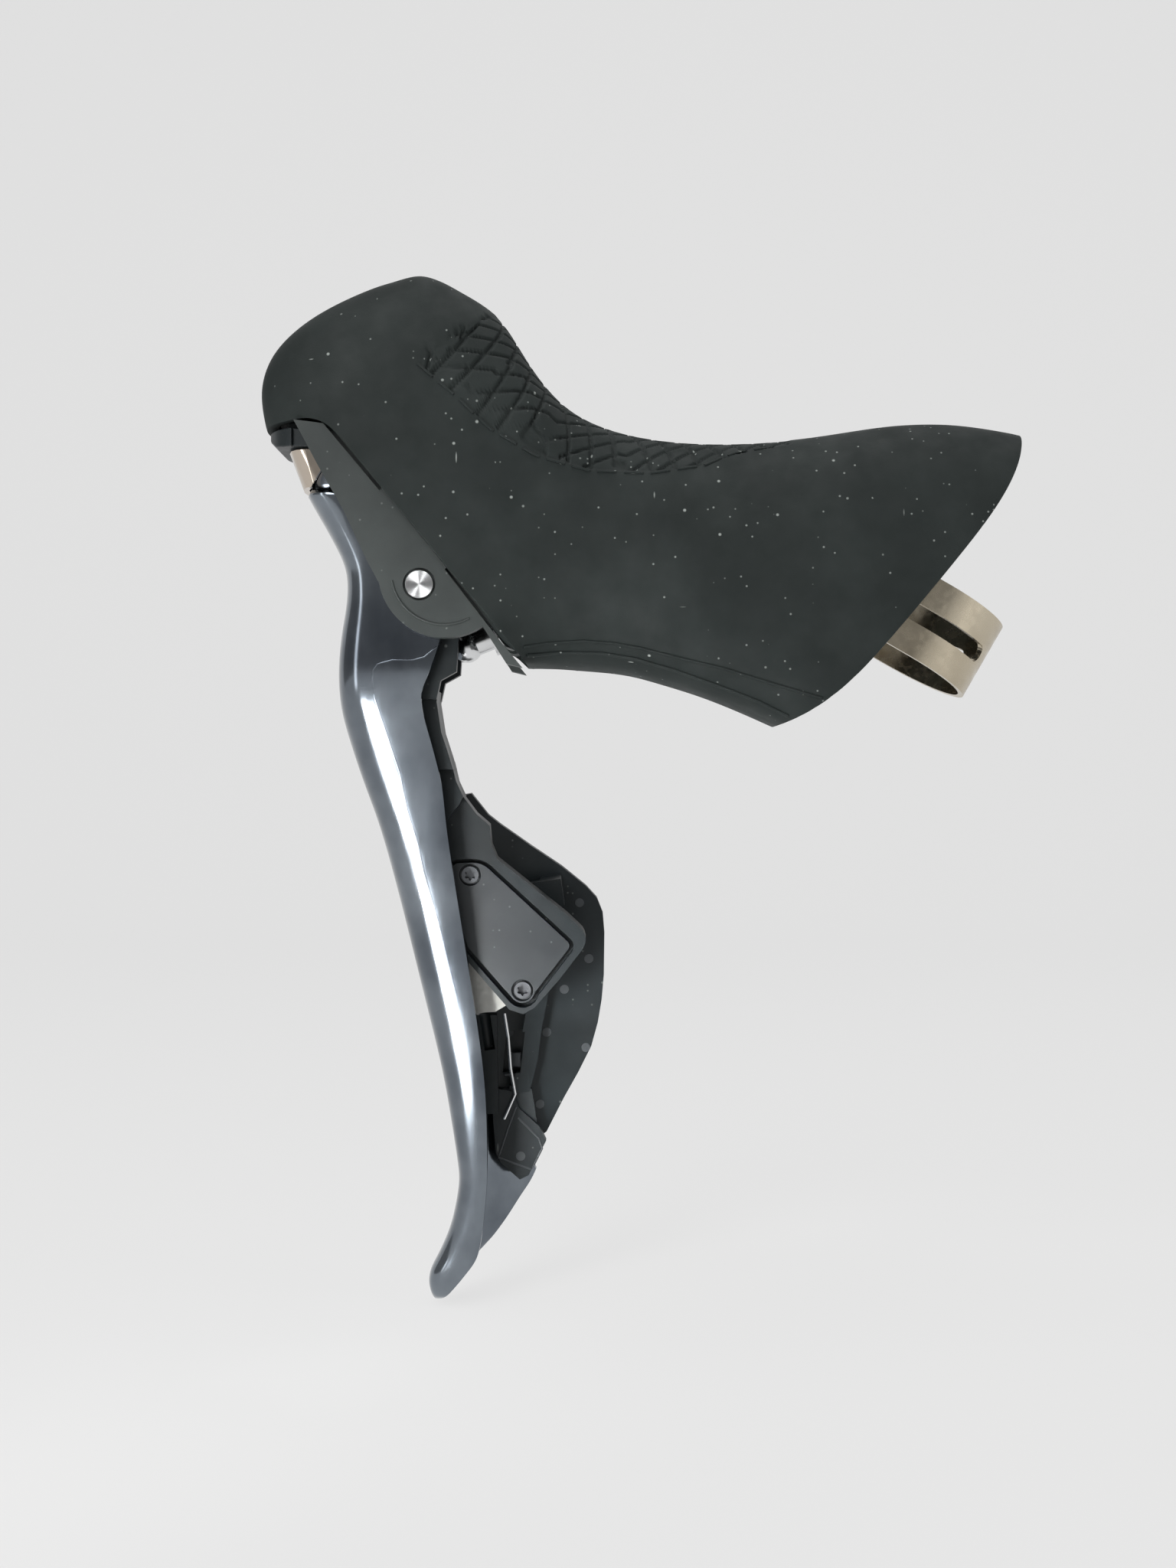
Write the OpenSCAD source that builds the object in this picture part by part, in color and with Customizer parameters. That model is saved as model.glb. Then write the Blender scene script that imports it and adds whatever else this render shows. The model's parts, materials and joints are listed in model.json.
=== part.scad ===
// Electronic shift and hydraulic brake lever for the right end of a drop bar.
// Origin: centre of the bar clamp. +X points to the rear, +Y away from the frame's middle, +Z up.

/* [Bar clamp] */
// Radius of the handlebar that the lever is clamped to
bar_r = 12.0; // [11.6:0.1:12.4]
// Lean of the bar's axis from vertical, its top to the rear
bar_lean = 30; // [26:1:34]
// Width of the clamp band along the bar
band_w = 13.7; // [12:0.1:15]
// Thickness of the band's steel strip
band_t = 1.0; // [0.8:0.1:1.2]
// Width of the long slot between the band's two strips
band_slot = 3.1; // [2:0.1:4]
// Angle from the band's rear line to the round end of each slot
slot_start = 37; // [30:1:50]
// Distance from the bar's axis to the cross nut that pulls the band
nut_reach = 20; // [19:0.5:21]
// Height of the cross nut along the bar
nut_h = 6.0; // [5:0.5:7]
// Thickness of the cross nut along the bolt
nut_t = 5.0; // [4:0.5:6]
// Diameter of the clamp bolt's thread
clamp_bolt_d = 5; // [4:0.5:5.5]
// Length of the clamp bolt under its head
clamp_bolt_l = 16; // [15:0.5:18]

/* [Lever blade] */
// Distance of the lever's pivot in front of the clamp's centre
pivot_x = 85.5; // [84.5:0.5:86.5]
// Height of the lever's pivot above the clamp's centre
pivot_z = 6.0; // [5.5:0.5:6.5]
// Diameter of the pivot pin
pivot_d = 4.8; // [4:0.2:5.2]
// Width of the lever between the bracket's cheeks
lever_w = 19; // [18:0.2:19.6]
// Wall thickness of the lever's channel
blade_t = 2.2; // [1.8:0.1:2.4]

/* [Bracket] */
// Thickness of each cheek of the bracket
cheek_t = 3.0; // [2.6:0.1:3.2]
// Gap between the lever and each cheek
cheek_gap = 0.4; // [0.2:0.1:0.5]

/* [Hood] */
// Thickness of the rubber hood
hood_t = 2.2; // [1.8:0.1:2.4]
// Gap between the hood and the bracket under it
hood_gap = 0.35; // [0.3:0.05:0.6]
// Half width of the hood at its waist, where the palm rests
waist_half_w = 14.8; // [14.4:0.1:16]
// Half width of the hood at its rear mouth
mouth_half_w = 17.4; // [17:0.1:18.5]

/* [Master cylinder] */
// Diameter of the cylinder's bore
bore_d = 9.0; // [8:0.2:9.4]
// Slope of the cylinder's axis, rising to the rear
bore_slope = 22; // [20:1:24]
// Length of the piston
piston_l = 12; // [10:0.5:13]
// Stroke of the piston at full pull
stroke = 4.3; // [3.5:0.1:4.6]
// Diameter of the push rod
rod_d = 4; // [3:0.2:5]
// Diameter of the brake hose
hose_d = 5; // [4.8:0.1:5.2]

/* [Shift switches] */
// Thickness of a shift paddle
paddle_t = 2.0; // [1.6:0.1:2.4]
// Radius to which the paddles' faces are curved
paddle_r = 80; // [60:5:120]
// Gap between neighbouring paddles
paddle_gap = 0.6; // [0.5:0.1:0.9]
// Diameter of the paddles' hinge pin
paddle_pin_d = 2.0; // [1.8:0.1:2.2]
// Thickness of the switch cover plate
cover_t = 1.4; // [1.2:0.1:1.6]
// Gap round the switch cover plate
cover_gap = 0.7; // [0.5:0.1:0.9]
// Diameter of the heads of the cover's screws
cover_screw_d = 3.1; // [2.8:0.1:3.3]
// Travel of the button under the top of the hood
button_travel = 0.7; // [0.4:0.1:1]
// Diameter of the button under the top of the hood
button_d = 8; // [7:0.5:9]

/* [Battery and electronics] */
// Diameter of a coin cell
cell_d = 16; // [15.5:0.1:16]
// Thickness of a coin cell
cell_h = 3.2; // [2.8:0.1:3.2]
// Thickness of the battery cover
lid_t = 1.5; // [1.2:0.1:1.6]

/* [Hidden] */

// Clearances
fit = 0.05;       // radial gap of a running fit
seat = 0.1;       // gap of a piece that is set into a pocket
rest_gap = 0.3;   // gap between bodies that touch when they move
bar_gap = 0.4;    // gap between the bar and the bracket above and below the seat's land
cut = 0.5;        // how far a cutting shape runs past a face

// Widths across the lever, from its middle plane
cheek_in = lever_w / 2 + cheek_gap;
cheek_out = cheek_in + cheek_t;
front_half_w = cheek_out + rest_gap + hood_t;

// Small hardware
screw_d = 2.4;
screw_head_h = 1.2;
bush_t = 0.8;
hub_r = 7.0;
head_d = 8.4;
head_h = 4.6;

function lerp(a, b, t) = a + (b - a) * t;
function unit(v) = v / norm(v);

// Smooth curve through key rows: row k at whole numbers, a cubic between them
function row(keys, k) = keys[min(max(k, 0), len(keys) - 1)];
function cubic(a, b, c, d, t) =
    b + 0.5 * t * (c - a + t * (2 * a - 5 * b + 4 * c - d + t * (3 * (b - c) + d - a)));
function along(keys, u) = let (k = min(floor(u), len(keys) - 2))
    cubic(row(keys, k - 1), row(keys, k), row(keys, k + 1), row(keys, k + 2), u - k);

function arc(c, r, a0, a1, n) = [for (i = [0:n]) let (a = lerp(a0, a1, i / n)) c + r * [cos(a), sin(a)]];
function bend3(a, b, c, t) = lerp(lerp(a, b, t), lerp(b, c, t), t);

// Solid through rings of points; each end is closed by strips that pair a point with its opposite
module loft(rings) {
    n = len(rings[0]);
    m = len(rings);
    e = (m - 1) * n;
    polyhedron(points = [for (r = rings) each r], faces = concat(
        [for (i = [0:n / 2 - 2]) each [[i + 1, i, n - 1 - i], [n - 2 - i, i + 1, n - 1 - i]]],
        [for (k = [0:m - 2], i = [0:n - 1]) let (j = (i + 1) % n, a = k * n, b = a + n)
            each [[a + i, a + j, b + i], [a + j, b + j, b + i]]],
        [for (i = [0:n / 2 - 2]) each [[e + i, e + i + 1, e + n - 1 - i], [e + i + 1, e + n - 2 - i, e + n - 1 - i]]]));
}

// Tube wall between outer and inner rings, with a rim at both ends
module shell(outer, inner) {
    n = len(outer[0]);
    m = len(outer);
    off = m * n;
    polyhedron(points = concat([for (r = outer) each r], [for (r = inner) each r]), faces = concat(
        [for (k = [0:m - 2], i = [0:n - 1]) let (j = (i + 1) % n, a = k * n, b = a + n)
            each [[a + i, a + j, b + i], [a + j, b + j, b + i]]],
        [for (k = [0:m - 2], i = [0:n - 1]) let (j = (i + 1) % n, a = off + k * n, b = a + n)
            each [[a + i, b + i, a + j], [a + j, b + i, b + j]]],
        [for (i = [0:n - 1]) let (j = (i + 1) % n)
            each [[i, off + i, j], [j, off + i, off + j]]],
        [for (i = [0:n - 1]) let (j = (i + 1) % n, e = (m - 1) * n)
            each [[e + i, e + j, off + e + i], [e + j, off + e + j, off + e + i]]]));
}

// Side-view outline turned upright and extruded across the lever from y0 to y1
module across(y0, y1) {
    translate([0, y1, 0]) rotate([90, 0, 0]) linear_extrude(y1 - y0) children();
}

module pin_y(x, z, r, y0, y1) {
    translate([x, y1, z]) rotate([90, 0, 0]) cylinder(r = r, h = y1 - y0, $fn = 48);
}

// Hood: each row is the top x, top z, bottom x, bottom z, half width, squareness below and
// above, and how much of the nose's undercut is left
hood_keys = [
    [-112.9, 33.2, -67.6, -7.2, front_half_w, 6.0, 3.3, 1.0],
    [-114.0, 40.0, -66.9, -7.3, front_half_w, 5.4, 3.2, 0.9],
    [-111.5, 47.0, -66.0, -7.4, front_half_w, 4.6, 3.1, 0.7],
    [-104.5, 53.2, -64.5, -7.5, front_half_w, 3.9, 3.0, 0.45],
    [-95.6, 57.7, -62.5, -7.6, front_half_w, 3.4, 2.9, 0.2],
    [-91.0, 59.3, -61.2, -7.7, front_half_w - 0.1, 3.2, 2.8, 0.1],
    [-86.6, 60.5, -60.0, -7.8, front_half_w - 0.2, 3.1, 2.8, 0.05],
    [-83.0, 59.6, -58.8, -7.9, front_half_w - 0.3, 3.0, 2.8, 0],
    [-79.4, 57.7, -57.5, -8.0, front_half_w - 0.4, 3.0, 2.8, 0],
    [-72.4, 53.2, -55.0, -8.2, waist_half_w + 0.1, 2.9, 2.7, 0],
    [-67.4, 45.2, -52.0, -8.5, waist_half_w, 2.9, 2.6, 0],
    [-60.6, 37.2, -48.5, -9.1, waist_half_w, 2.9, 2.6, 0],
    [-50.0, 32.8, -43.5, -10.5, lerp(waist_half_w, mouth_half_w, 0.25), 3.0, 2.7, 0],
    [-35.6, 31.3, -38.0, -12.2, lerp(waist_half_w, mouth_half_w, 0.5), 3.1, 2.8, 0],
    [-20.0, 32.2, -33.0, -14.1, lerp(waist_half_w, mouth_half_w, 0.75), 3.3, 2.9, 0],
    [-6.0, 34.4, -29.0, -15.8, lerp(waist_half_w, mouth_half_w, 0.9), 3.5, 3.0, 0],
    [6.0, 34.6, -26.5, -16.9, mouth_half_w, 3.7, 3.1, 0],
    [16.7, 32.8, -24.9, -17.6, mouth_half_w, 3.8, 3.2, 0]];
hood_last = len(hood_keys) - 1;
undercut = [5.5, 6.0];     // how far the nose's lower edge stands back from a straight line
undercut_at = 0.88;        // where along the front edge, from bottom to top
mouth_bow = [3.7, -3.1];   // how far the sides reach back at the mouth

function power(c, p) = sign(c) * pow(abs(c), 2 / p);

// Point on the hood's skin: u along its rows, a round the section from the top
function hood_point(u, a) = let (k = along(hood_keys, u), p = cos(a) < 0 ? k[5] : k[6],
    v = 0.5 + 0.5 * power(cos(a), p),
    dent = v < undercut_at ? v / undercut_at : (1 - v) / (1 - undercut_at),
    bow = max(0, (u - hood_last + 6) / 6) * (1 - pow(2 * v - 1, 4)),
    side = [lerp(k[2], k[0], v), lerp(k[3], k[1], v)] + k[7] * dent * undercut + bow * mouth_bow)
    [side[0], k[4] * power(sin(a), p), side[1]];

// Skin point moved inward by d along the surface's normal
function hood_inset(u, a, d) = let (e = 0.05, f = 2,
    du = hood_point(min(u + e, hood_last), a) - hood_point(max(u - e, 0), a),
    da = hood_point(u, a + f) - hood_point(u, a - f))
    hood_point(u, a) + d * unit(cross(da, du));

hood_steps = 2;            // rings to each row of keys
hood_sides = 32;
function hood_ring(u, d, n) = [for (i = [0:n - 1]) hood_inset(u, 360 * i / n, d)];
function hood_rings(d, n, u0, u1, steps) =
    [for (i = [0:round((u1 - u0) * steps)]) hood_ring(u0 + i / steps, d, n)];

// Front edge of the hood in side view, moved forward by d
function edge_point(v, d) = let (k = hood_keys[0],
    dent = v < undercut_at ? v / undercut_at : (1 - v) / (1 - undercut_at),
    dir = unit([k[0] - k[2], k[1] - k[3]]))
    [lerp(k[2], k[0], v), lerp(k[3], k[1], v)] + dent * undercut + d * [-dir[1], dir[0]];

pivot = [-pivot_x, pivot_z];

// Exposed cheek of the bracket in side view, with a tongue that runs under the hood
cheek_arc_c = pivot + [4.2, 2.1];
cheek_arc_r = 11.1;
toe = [-70.9, -7.3];
tongue = 5;
cheek_outline = concat(
    [[-106.6, 33.6], [-105.5, 31.6], [-102.3, 25.6], [-98.2, 18.4], [-94.4, 10.2]],
    arc(cheek_arc_c, cheek_arc_r, 190, 305, 16),
    [toe, edge_point(0.0, 1.0), edge_point(0.1, 1.0), edge_point(0.34, 0.5), edge_point(0.34, -tongue),
     edge_point(0.62, -tongue), edge_point(0.62, 0.5), edge_point(0.86, 0.6)]);

liner_t = 0.9;
liner_outline = concat([for (v = [0.14:0.074:0.88]) edge_point(v, 0.7)],
    [for (v = [0.88:-0.074:0.14]) edge_point(v, -2)]);

// Frame of the master cylinder: local +X runs up its bore from the push rod's tip
rod_tip = pivot + [4.9, -10.8];
module at_bore() { translate([rod_tip[0], 0, rod_tip[1]]) rotate([0, -bore_slope, 0]) children(); }
module along_bore(r, x0, x1) { at_bore() translate([x0, 0, 0]) rotate([0, 90, 0]) cylinder(r = r, h = x1 - x0, $fn = 48); }
bore_start = 13.5;
piston_start = bore_start + 1;
bore_end = piston_start + piston_l + stroke + 6;

// Frame of the bar: local Z is the bar's axis, local -X points forward to the clamp bolt
module at_bar() { rotate([0, bar_lean, 0]) children(); }
module along_bolt(r, x0, x1) { at_bar() translate([x0, 0, 0]) rotate([0, 90, 0]) cylinder(r = r, h = x1 - x0, $fn = 48); }
bolt_tip = nut_reach - nut_t / 2 - 0.6;
bolt_seat = bolt_tip + clamp_bolt_l;

// Reservoir in the horn
res_c = [-86.5, 0];
res_r = 6.0;
res_top = 49.5;
res_deep = 12;
res_lid_r = 7.8;
res_lid_t = 1.8;

// Battery bay on the inner side, board bay on the outer side
cell_c = [-59.5, 18.5];
bay_face = -(waist_half_w - hood_t - 2.8);
bay_floor = bay_face + lid_t + 2 * cell_h + 1.0;
board_c = [-62, 16.5];
board_size = [20, 13];

nose_seat = 34.2;
bleed_c = [-69, 3.2];
bleed_top = 36.5;
port_c = [7.0, 23.0];
port_x0 = -25.5;
port_l = 12;
button_c = [-98, 44];
button_face = -9.2;
reach_z = 20.5;

module bracket_body() {
    color([0.29, 0.30, 0.30]) difference() {
        union() {
            loft(hood_rings(hood_t + hood_gap, hood_sides, 0, hood_last - 1, hood_steps));
            for (s = [-1, 1]) scale([1, s, 1]) {
                across(cheek_in, cheek_out) polygon(cheek_outline);
                // Thin inner wall behind the gap between the cheek and the hood's edge
                across(cheek_in, cheek_in + liner_t) polygon(liner_outline);
            }
        }
        // Slot that the lever swings in
        pin_y(pivot[0], pivot[1], hub_r + 1.6, -cheek_in, cheek_in);
        pin_y(pivot[0], pivot[1], pivot_d / 2 + 0.02, -cheek_out - cut, cheek_out + cut);
        // Relief round the pin's head
        for (s = [-1, 1]) scale([1, s, 1])
            pin_y(pivot[0], pivot[1], pivot_d / 2 + 0.35, cheek_out - 0.6, cheek_out + cut);
        // Flat seat for the nose cap
        translate([-120, -cheek_in, 20]) cube([20, 2 * cheek_in, nose_seat - 20]);
        // Seat for the bar, a land as wide as the band, and room for the band beside it
        at_bar() cylinder(r = bar_r, h = 140, center = true, $fn = 96);
        at_bar() for (s = [-1, 1]) translate([0, 0, s * (band_w + 70) / 2])
            cylinder(r = bar_r + bar_gap, h = 70, center = true, $fn = 96);
        at_bar() translate([60 - 7, 0, 0]) cube([120, 60, 140], center = true);
        at_bar() for (s = [-1, 1]) translate([-14, s * (bar_r + 8 - 0.6), 0])
            cube([40, 16, band_w + 1.2], center = true);
        // Cross slot for the nut, bore for the clamp bolt and pocket for its head
        at_bar() translate([-nut_reach, 0, 0]) cube([nut_t + 4, 60, nut_h + 1], center = true);
        along_bolt(clamp_bolt_d / 2 + 0.25, -bolt_seat - cut, -10);
        along_bolt(head_d / 2 + 0.4, -90, -bolt_seat);
        pin_y(axle_screw_at[0], axle_screw_at[1], axle_screw_r, cheek_out - 2.5, cheek_out + cut);
        at_reach() translate([0, 0, 3]) cylinder(r = reach_r + fit, h = reach_len, $fn = 32);
        // Master cylinder
        along_bore(bore_d / 2, bore_start, bore_end);
        along_bore(bore_d / 2 + 1, -4, bore_start + 0.6);
        // Reservoir, its lid seat and lid screws
        translate([res_c[0], res_c[1], res_top - res_deep]) cylinder(r = res_r, h = 40, $fn = 48);
        translate([res_c[0], res_c[1], res_top]) cylinder(r = res_lid_r + seat, h = 40, $fn = 48);
        // Bleed port
        translate([bleed_c[0], bleed_c[1], bleed_top - 9]) cylinder(r = 2.55, h = 40, $fn = 32);
        translate([bleed_c[0], bleed_c[1], bleed_top]) cylinder(r = 4, h = 40, $fn = 32);
        // Hose port
        translate([port_x0, port_c[0], port_c[1]]) rotate([0, 90, 0]) cylinder(r = 4.1, h = 60, $fn = 48);
        translate([port_x0 + port_l - 4.2, port_c[0], port_c[1]]) rotate([0, 90, 0]) cylinder(r = 5.2, h = 60, $fn = 48);
        // Battery bay
        pin_y(cell_c[0], cell_c[1], cell_d / 2 + 0.25, bay_face - 10, bay_floor);
        pin_y(cell_c[0], cell_c[1], cell_d / 2 + 2.2, bay_face - 10, bay_face + lid_t);
        for (s = [-1, 1]) pin_y(cell_c[0] + s * (cell_d / 2 + 3.2), cell_c[1], 2.6, bay_face - 10, bay_face + lid_t);
        // Board bay
        translate([board_c[0] - board_size[0] / 2, -bay_face - 3.4, board_c[1] - board_size[1] / 2])
            cube([board_size[0], 20, board_size[1]]);
        translate([board_c[0] - board_size[0] / 2 - 1.2, -bay_face - lid_t, board_c[1] - board_size[1] / 2 - 1.2])
            cube([board_size[0] + 2.4, 20, board_size[1] + 2.4]);
        // Button pocket
        pin_y(button_c[0], button_c[1], button_d / 2 + 0.1, button_face - 12, button_face + 4.6);
    }
}

module hood_cover() {
    color([0.21, 0.23, 0.23])
        shell(hood_rings(0, hood_sides, 0, hood_last, hood_steps),
              hood_rings(hood_t, hood_sides, 0, hood_last, hood_steps));
}

// Dark cap under the nose: a lip that follows the hood's edge and a plug between the cheeks
nose_tip = -112.1;
nose_round = [12.2, 12.4];
nose_side = [[-112.3, 32.7], [-111.7, 31.2], [-110.4, 29.9], [-108.8, 29.6], [-101.5, 29.6],
    [-101.5, 34.1], [-108.3, 34.1], [-108.3, 32.7]];
function nose_plan(dx, dy) = [for (a = [90:6:270]) [nose_tip + dx + nose_round[0] * (1 + power(cos(a), 2.4)),
    (nose_round[1] - dy) * power(sin(a), 2.4)]];
module nose_cover() {
    color([0.16, 0.17, 0.18]) difference() {
        intersection() {
            across(-cheek_out, cheek_out) polygon(nose_side);
            translate([0, 0, 20]) linear_extrude(20) polygon(nose_plan(0, 0));
        }
        for (s = [-1, 1]) scale([1, s, 1]) translate([-107.2, cheek_in - seat, 20]) cube([20, 20, 20]);
        for (s = [-1, 1]) scale([1, s, 1]) translate([-120, 7.6, 32.7]) cube([30, 20, 20]);
    }
}

module clamp_band() {
    color([0.78, 0.75, 0.70]) at_bar() difference() {
        union() {
            translate([0, 0, -band_w / 2]) difference() {
                cylinder(r = bar_r + band_t, h = band_w, $fn = 120);
                translate([0, 0, -cut]) cylinder(r = bar_r, h = band_w + 2 * cut, $fn = 120);
                translate([-40, -20, -cut]) cube([40, 40, band_w + 2 * cut]);
            }
            for (s = [-1, 1]) scale([1, s, 1]) translate([-nut_reach - 5, bar_r, -band_w / 2])
                cube([nut_reach + 5, band_t, band_w]);
        }
        // Slots between the strips
        for (s = [-1, 1]) scale([1, s, 1]) {
            rotate([0, 0, slot_start]) rotate([0, 90, 0]) cylinder(d = band_slot, h = 20, $fn = 32);
            rotate([0, 0, slot_start]) rotate_extrude(angle = 91 - slot_start, $fn = 120)
                translate([bar_r - 2, -band_slot / 2]) square([band_t + 4, band_slot]);
            translate([-9, bar_r - 2, -band_slot / 2]) cube([9.2, band_t + 4, band_slot]);
        }
        translate([-nut_reach, 0, 0]) cube([nut_t + 2 * seat, 60, nut_h + 2 * seat], center = true);
    }
}

module clamp_nut() {
    color([0.55, 0.56, 0.58]) difference() {
        at_bar() translate([-nut_reach, 0, 0]) cube([nut_t, 2 * (bar_r + band_t) + 0.8, nut_h], center = true);
        along_bolt(clamp_bolt_d / 2 + fit, -nut_reach - nut_t, -nut_reach + nut_t);
    }
}

module clamp_bolt() {
    color([0.50, 0.51, 0.53]) difference() {
        union() {
            along_bolt(clamp_bolt_d / 2, -bolt_seat, -bolt_tip);
            along_bolt(head_d / 2, -bolt_seat - head_h, -bolt_seat);
        }
        at_bar() translate([-bolt_seat - head_h - cut, 0, 0]) rotate([0, 90, 0]) cylinder(r = 2.3, h = 3 + cut, $fn = 6);
    }
}

module lever_axle() {
    color([0.80, 0.80, 0.80]) difference() {
        pin_y(pivot[0], pivot[1], pivot_d / 2, -cheek_out - 0.15, cheek_out + 0.15);
        pin_y(pivot[0], pivot[1], pivot_d / 2 - 1.5, cheek_out - 1.6, cheek_out + cut);
    }
}

// Grub screw that keeps the pivot pin in the outer cheek
axle_screw_at = pivot + [5.2, 2.4];
axle_screw_r = 1.5;
module axle_screw() {
    color([0.30, 0.31, 0.32]) across_hex(axle_screw_at, axle_screw_r, cheek_out - 2.4, cheek_out - 0.1, 0.75);
}

// Short screw with a hex socket, lying across the lever
module across_hex(at, r, y0, y1, key) {
    difference() {
        pin_y(at[0], at[1], r, y0, y1);
        translate([at[0], y1 + cut, at[1]]) rotate([90, 0, 0]) cylinder(r = key, h = 1.3 + cut, $fn = 6);
    }
}

// Reach screw between the bracket's nose and the lever's upper arm
reach_len = 14;
reach_r = 1.5;
reach_slope = 28;
module at_reach() { translate([reach_tip[0], 0, reach_tip[1]]) rotate([0, -reach_slope, 0]) rotate([0, 90, 0]) children(); }
reach_tip = [-99.0, reach_z];
module reach_screw() {
    color([0.45, 0.46, 0.48]) at_reach() {
        cylinder(r = reach_r, h = reach_len, $fn = 32);
        cylinder(r = reach_r + 0.5, h = 1.2, $fn = 32);
    }
}

module reservoir_diaphragm() {
    color([0.12, 0.12, 0.12]) translate([res_c[0], res_c[1], 0]) difference() {
        union() {
            translate([0, 0, res_top - res_deep + 3]) cylinder(r = res_r - seat, h = res_deep - 3, $fn = 48);
            // Flange under the lid, cut back beside the lid's screws
            translate([0, 0, res_top]) intersection() {
                cylinder(r = res_lid_r - 0.6, h = 0.8, $fn = 48);
                cube([2 * (res_r + 0.2 - screw_d / 2), 4 * res_r, 4], center = true);
            }
        }
        translate([0, 0, res_top - res_deep + 4]) cylinder(r = res_r - 1.4, h = 20, $fn = 48);
    }
}

module reservoir_lid() {
    color([0.25, 0.26, 0.27]) translate([res_c[0], res_c[1], res_top + 0.8]) difference() {
        cylinder(r = res_lid_r, h = res_lid_t, $fn = 48);
        for (s = [-1, 1]) translate([s * (res_r + 0.2), 0, -cut]) cylinder(r = screw_d / 2 - 0.2, h = 5, $fn = 24);
        translate([0, 0, -cut]) cylinder(r = 0.7, h = 5, $fn = 24);
    }
}

module lid_screws() {
    color([0.60, 0.60, 0.62]) for (s = [-1, 1])
        translate([res_c[0] + s * (res_r + 0.2), res_c[1], res_top + 0.8 + res_lid_t]) difference() {
            union() {
                cylinder(r = screw_d / 2 - 0.2 + 0.5, h = screw_head_h, $fn = 32);
                translate([0, 0, -res_lid_t - 0.8]) cylinder(r = screw_d / 2 - 0.25, h = res_lid_t + 0.8, $fn = 24);
            }
            translate([0, 0, 0.4]) cylinder(r = 0.7, h = 2, $fn = 6);
        }
}

module bleed_screw() {
    color([0.66, 0.66, 0.68]) translate([bleed_c[0], bleed_c[1], bleed_top]) difference() {
        union() {
            translate([0, 0, -7]) cylinder(r = 2.5, h = 7, $fn = 32);
            cylinder(r = 3.6, h = 1.6, $fn = 32);
        }
        translate([0, 0, -1.2]) cylinder(r = 1.45, h = 4, $fn = 6);
    }
}

module hose_nut() {
    color([0.35, 0.36, 0.38]) translate([port_x0, port_c[0], port_c[1]]) rotate([0, 90, 0]) difference() {
        union() {
            translate([0, 0, seat]) cylinder(r = 4.05, h = port_l - 4, $fn = 48);
            translate([0, 0, port_l - 4]) cylinder(r = 4.6, h = 5, $fn = 6);
        }
        translate([0, 0, -cut]) cylinder(r = hose_d / 2 + fit, h = port_l + 10, $fn = 48);
    }
}

module battery_cover() {
    color([0.20, 0.21, 0.22]) difference() {
        union() {
            pin_y(cell_c[0], cell_c[1], cell_d / 2 + 2.1, bay_face, bay_face + lid_t - seat);
            for (s = [-1, 1]) pin_y(cell_c[0] + s * (cell_d / 2 + 3.2), cell_c[1], 2.5, bay_face, bay_face + lid_t - seat);
        }
        for (s = [-1, 1]) pin_y(cell_c[0] + s * (cell_d / 2 + 3.4), cell_c[1], 1.05, bay_face - cut, bay_face + 3);
    }
}

module battery_screws() {
    color([0.62, 0.62, 0.64]) for (s = [-1, 1]) {
        pin_y(cell_c[0] + s * (cell_d / 2 + 3.4), cell_c[1], 1.0, bay_face, bay_face + lid_t - 0.05);
        pin_y(cell_c[0] + s * (cell_d / 2 + 3.4), cell_c[1], 1.8, bay_face - 0.9, bay_face);
    }
}

module coin_cells() {
    color([0.75, 0.75, 0.75]) for (k = [0, 1]) {
        pin_y(cell_c[0], cell_c[1], cell_d / 2, bay_face + lid_t + 0.2 + k * cell_h, bay_face + lid_t + k * cell_h + cell_h + 0.1);
    }
}

module battery_contact() {
    color([0.80, 0.66, 0.35]) pin_y(cell_c[0], cell_c[1], 5, bay_floor - 0.6, bay_floor - 0.1);
}

module circuit_board() {
    color([0.10, 0.30, 0.18]) {
        translate([board_c[0] - board_size[0] / 2 + 0.3, -bay_face - 3.3, board_c[1] - board_size[1] / 2 + 0.3])
            cube([board_size[0] - 0.6, 0.8, board_size[1] - 0.6]);
        for (k = [0:2]) translate([board_c[0] - 8 + k * 5.6, -bay_face - 2.5, board_c[1] - 3])
            cube([3.6, 0.8, 4 + k]);
    }
}

module board_cover() {
    color([0.20, 0.21, 0.22]) translate([board_c[0] - board_size[0] / 2 - 1.1, -bay_face - lid_t + seat,
        board_c[1] - board_size[1] / 2 - 1.1]) cube([board_size[0] + 2.2, lid_t - seat, board_size[1] + 2.2]);
}

module button_switch() {
    color([0.30, 0.30, 0.32]) translate([button_c[0] - 2.4, button_face + 3.3, button_c[1] - 2.4]) cube([4.8, 1.2, 4.8]);
}

module top_button() {
    color([0.14, 0.14, 0.15]) pin_y(button_c[0], button_c[1], button_d / 2, button_face, button_face + 3.2 - button_travel);
}

// Piston with a hollow rear end and two seal grooves
seal_at = [2, 9.6];
module piston() {
    color([0.70, 0.71, 0.72]) difference() {
        along_bore(bore_d / 2 - fit, piston_start, piston_start + piston_l);
        for (x = seal_at) difference() {
            along_bore(bore_d, piston_start + x, piston_start + x + 1.6);
            along_bore(bore_d / 2 - 1.2, piston_start + x - cut, piston_start + x + 1.6 + cut);
        }
        along_bore(bore_d / 2 - 1.6, piston_start + piston_l - 2, piston_start + piston_l + cut);
        along_bore(rod_d / 2 + 0.3, piston_start - cut, piston_start + 2.2);
    }
}

module piston_seals() {
    color([0.10, 0.10, 0.10]) for (x = seal_at) difference() {
        along_bore(bore_d / 2 - fit, piston_start + x + seat, piston_start + x + 1.6 - seat);
        along_bore(bore_d / 2 - 1.1, piston_start + x - cut, piston_start + x + 1.6 + cut);
    }
}

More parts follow.
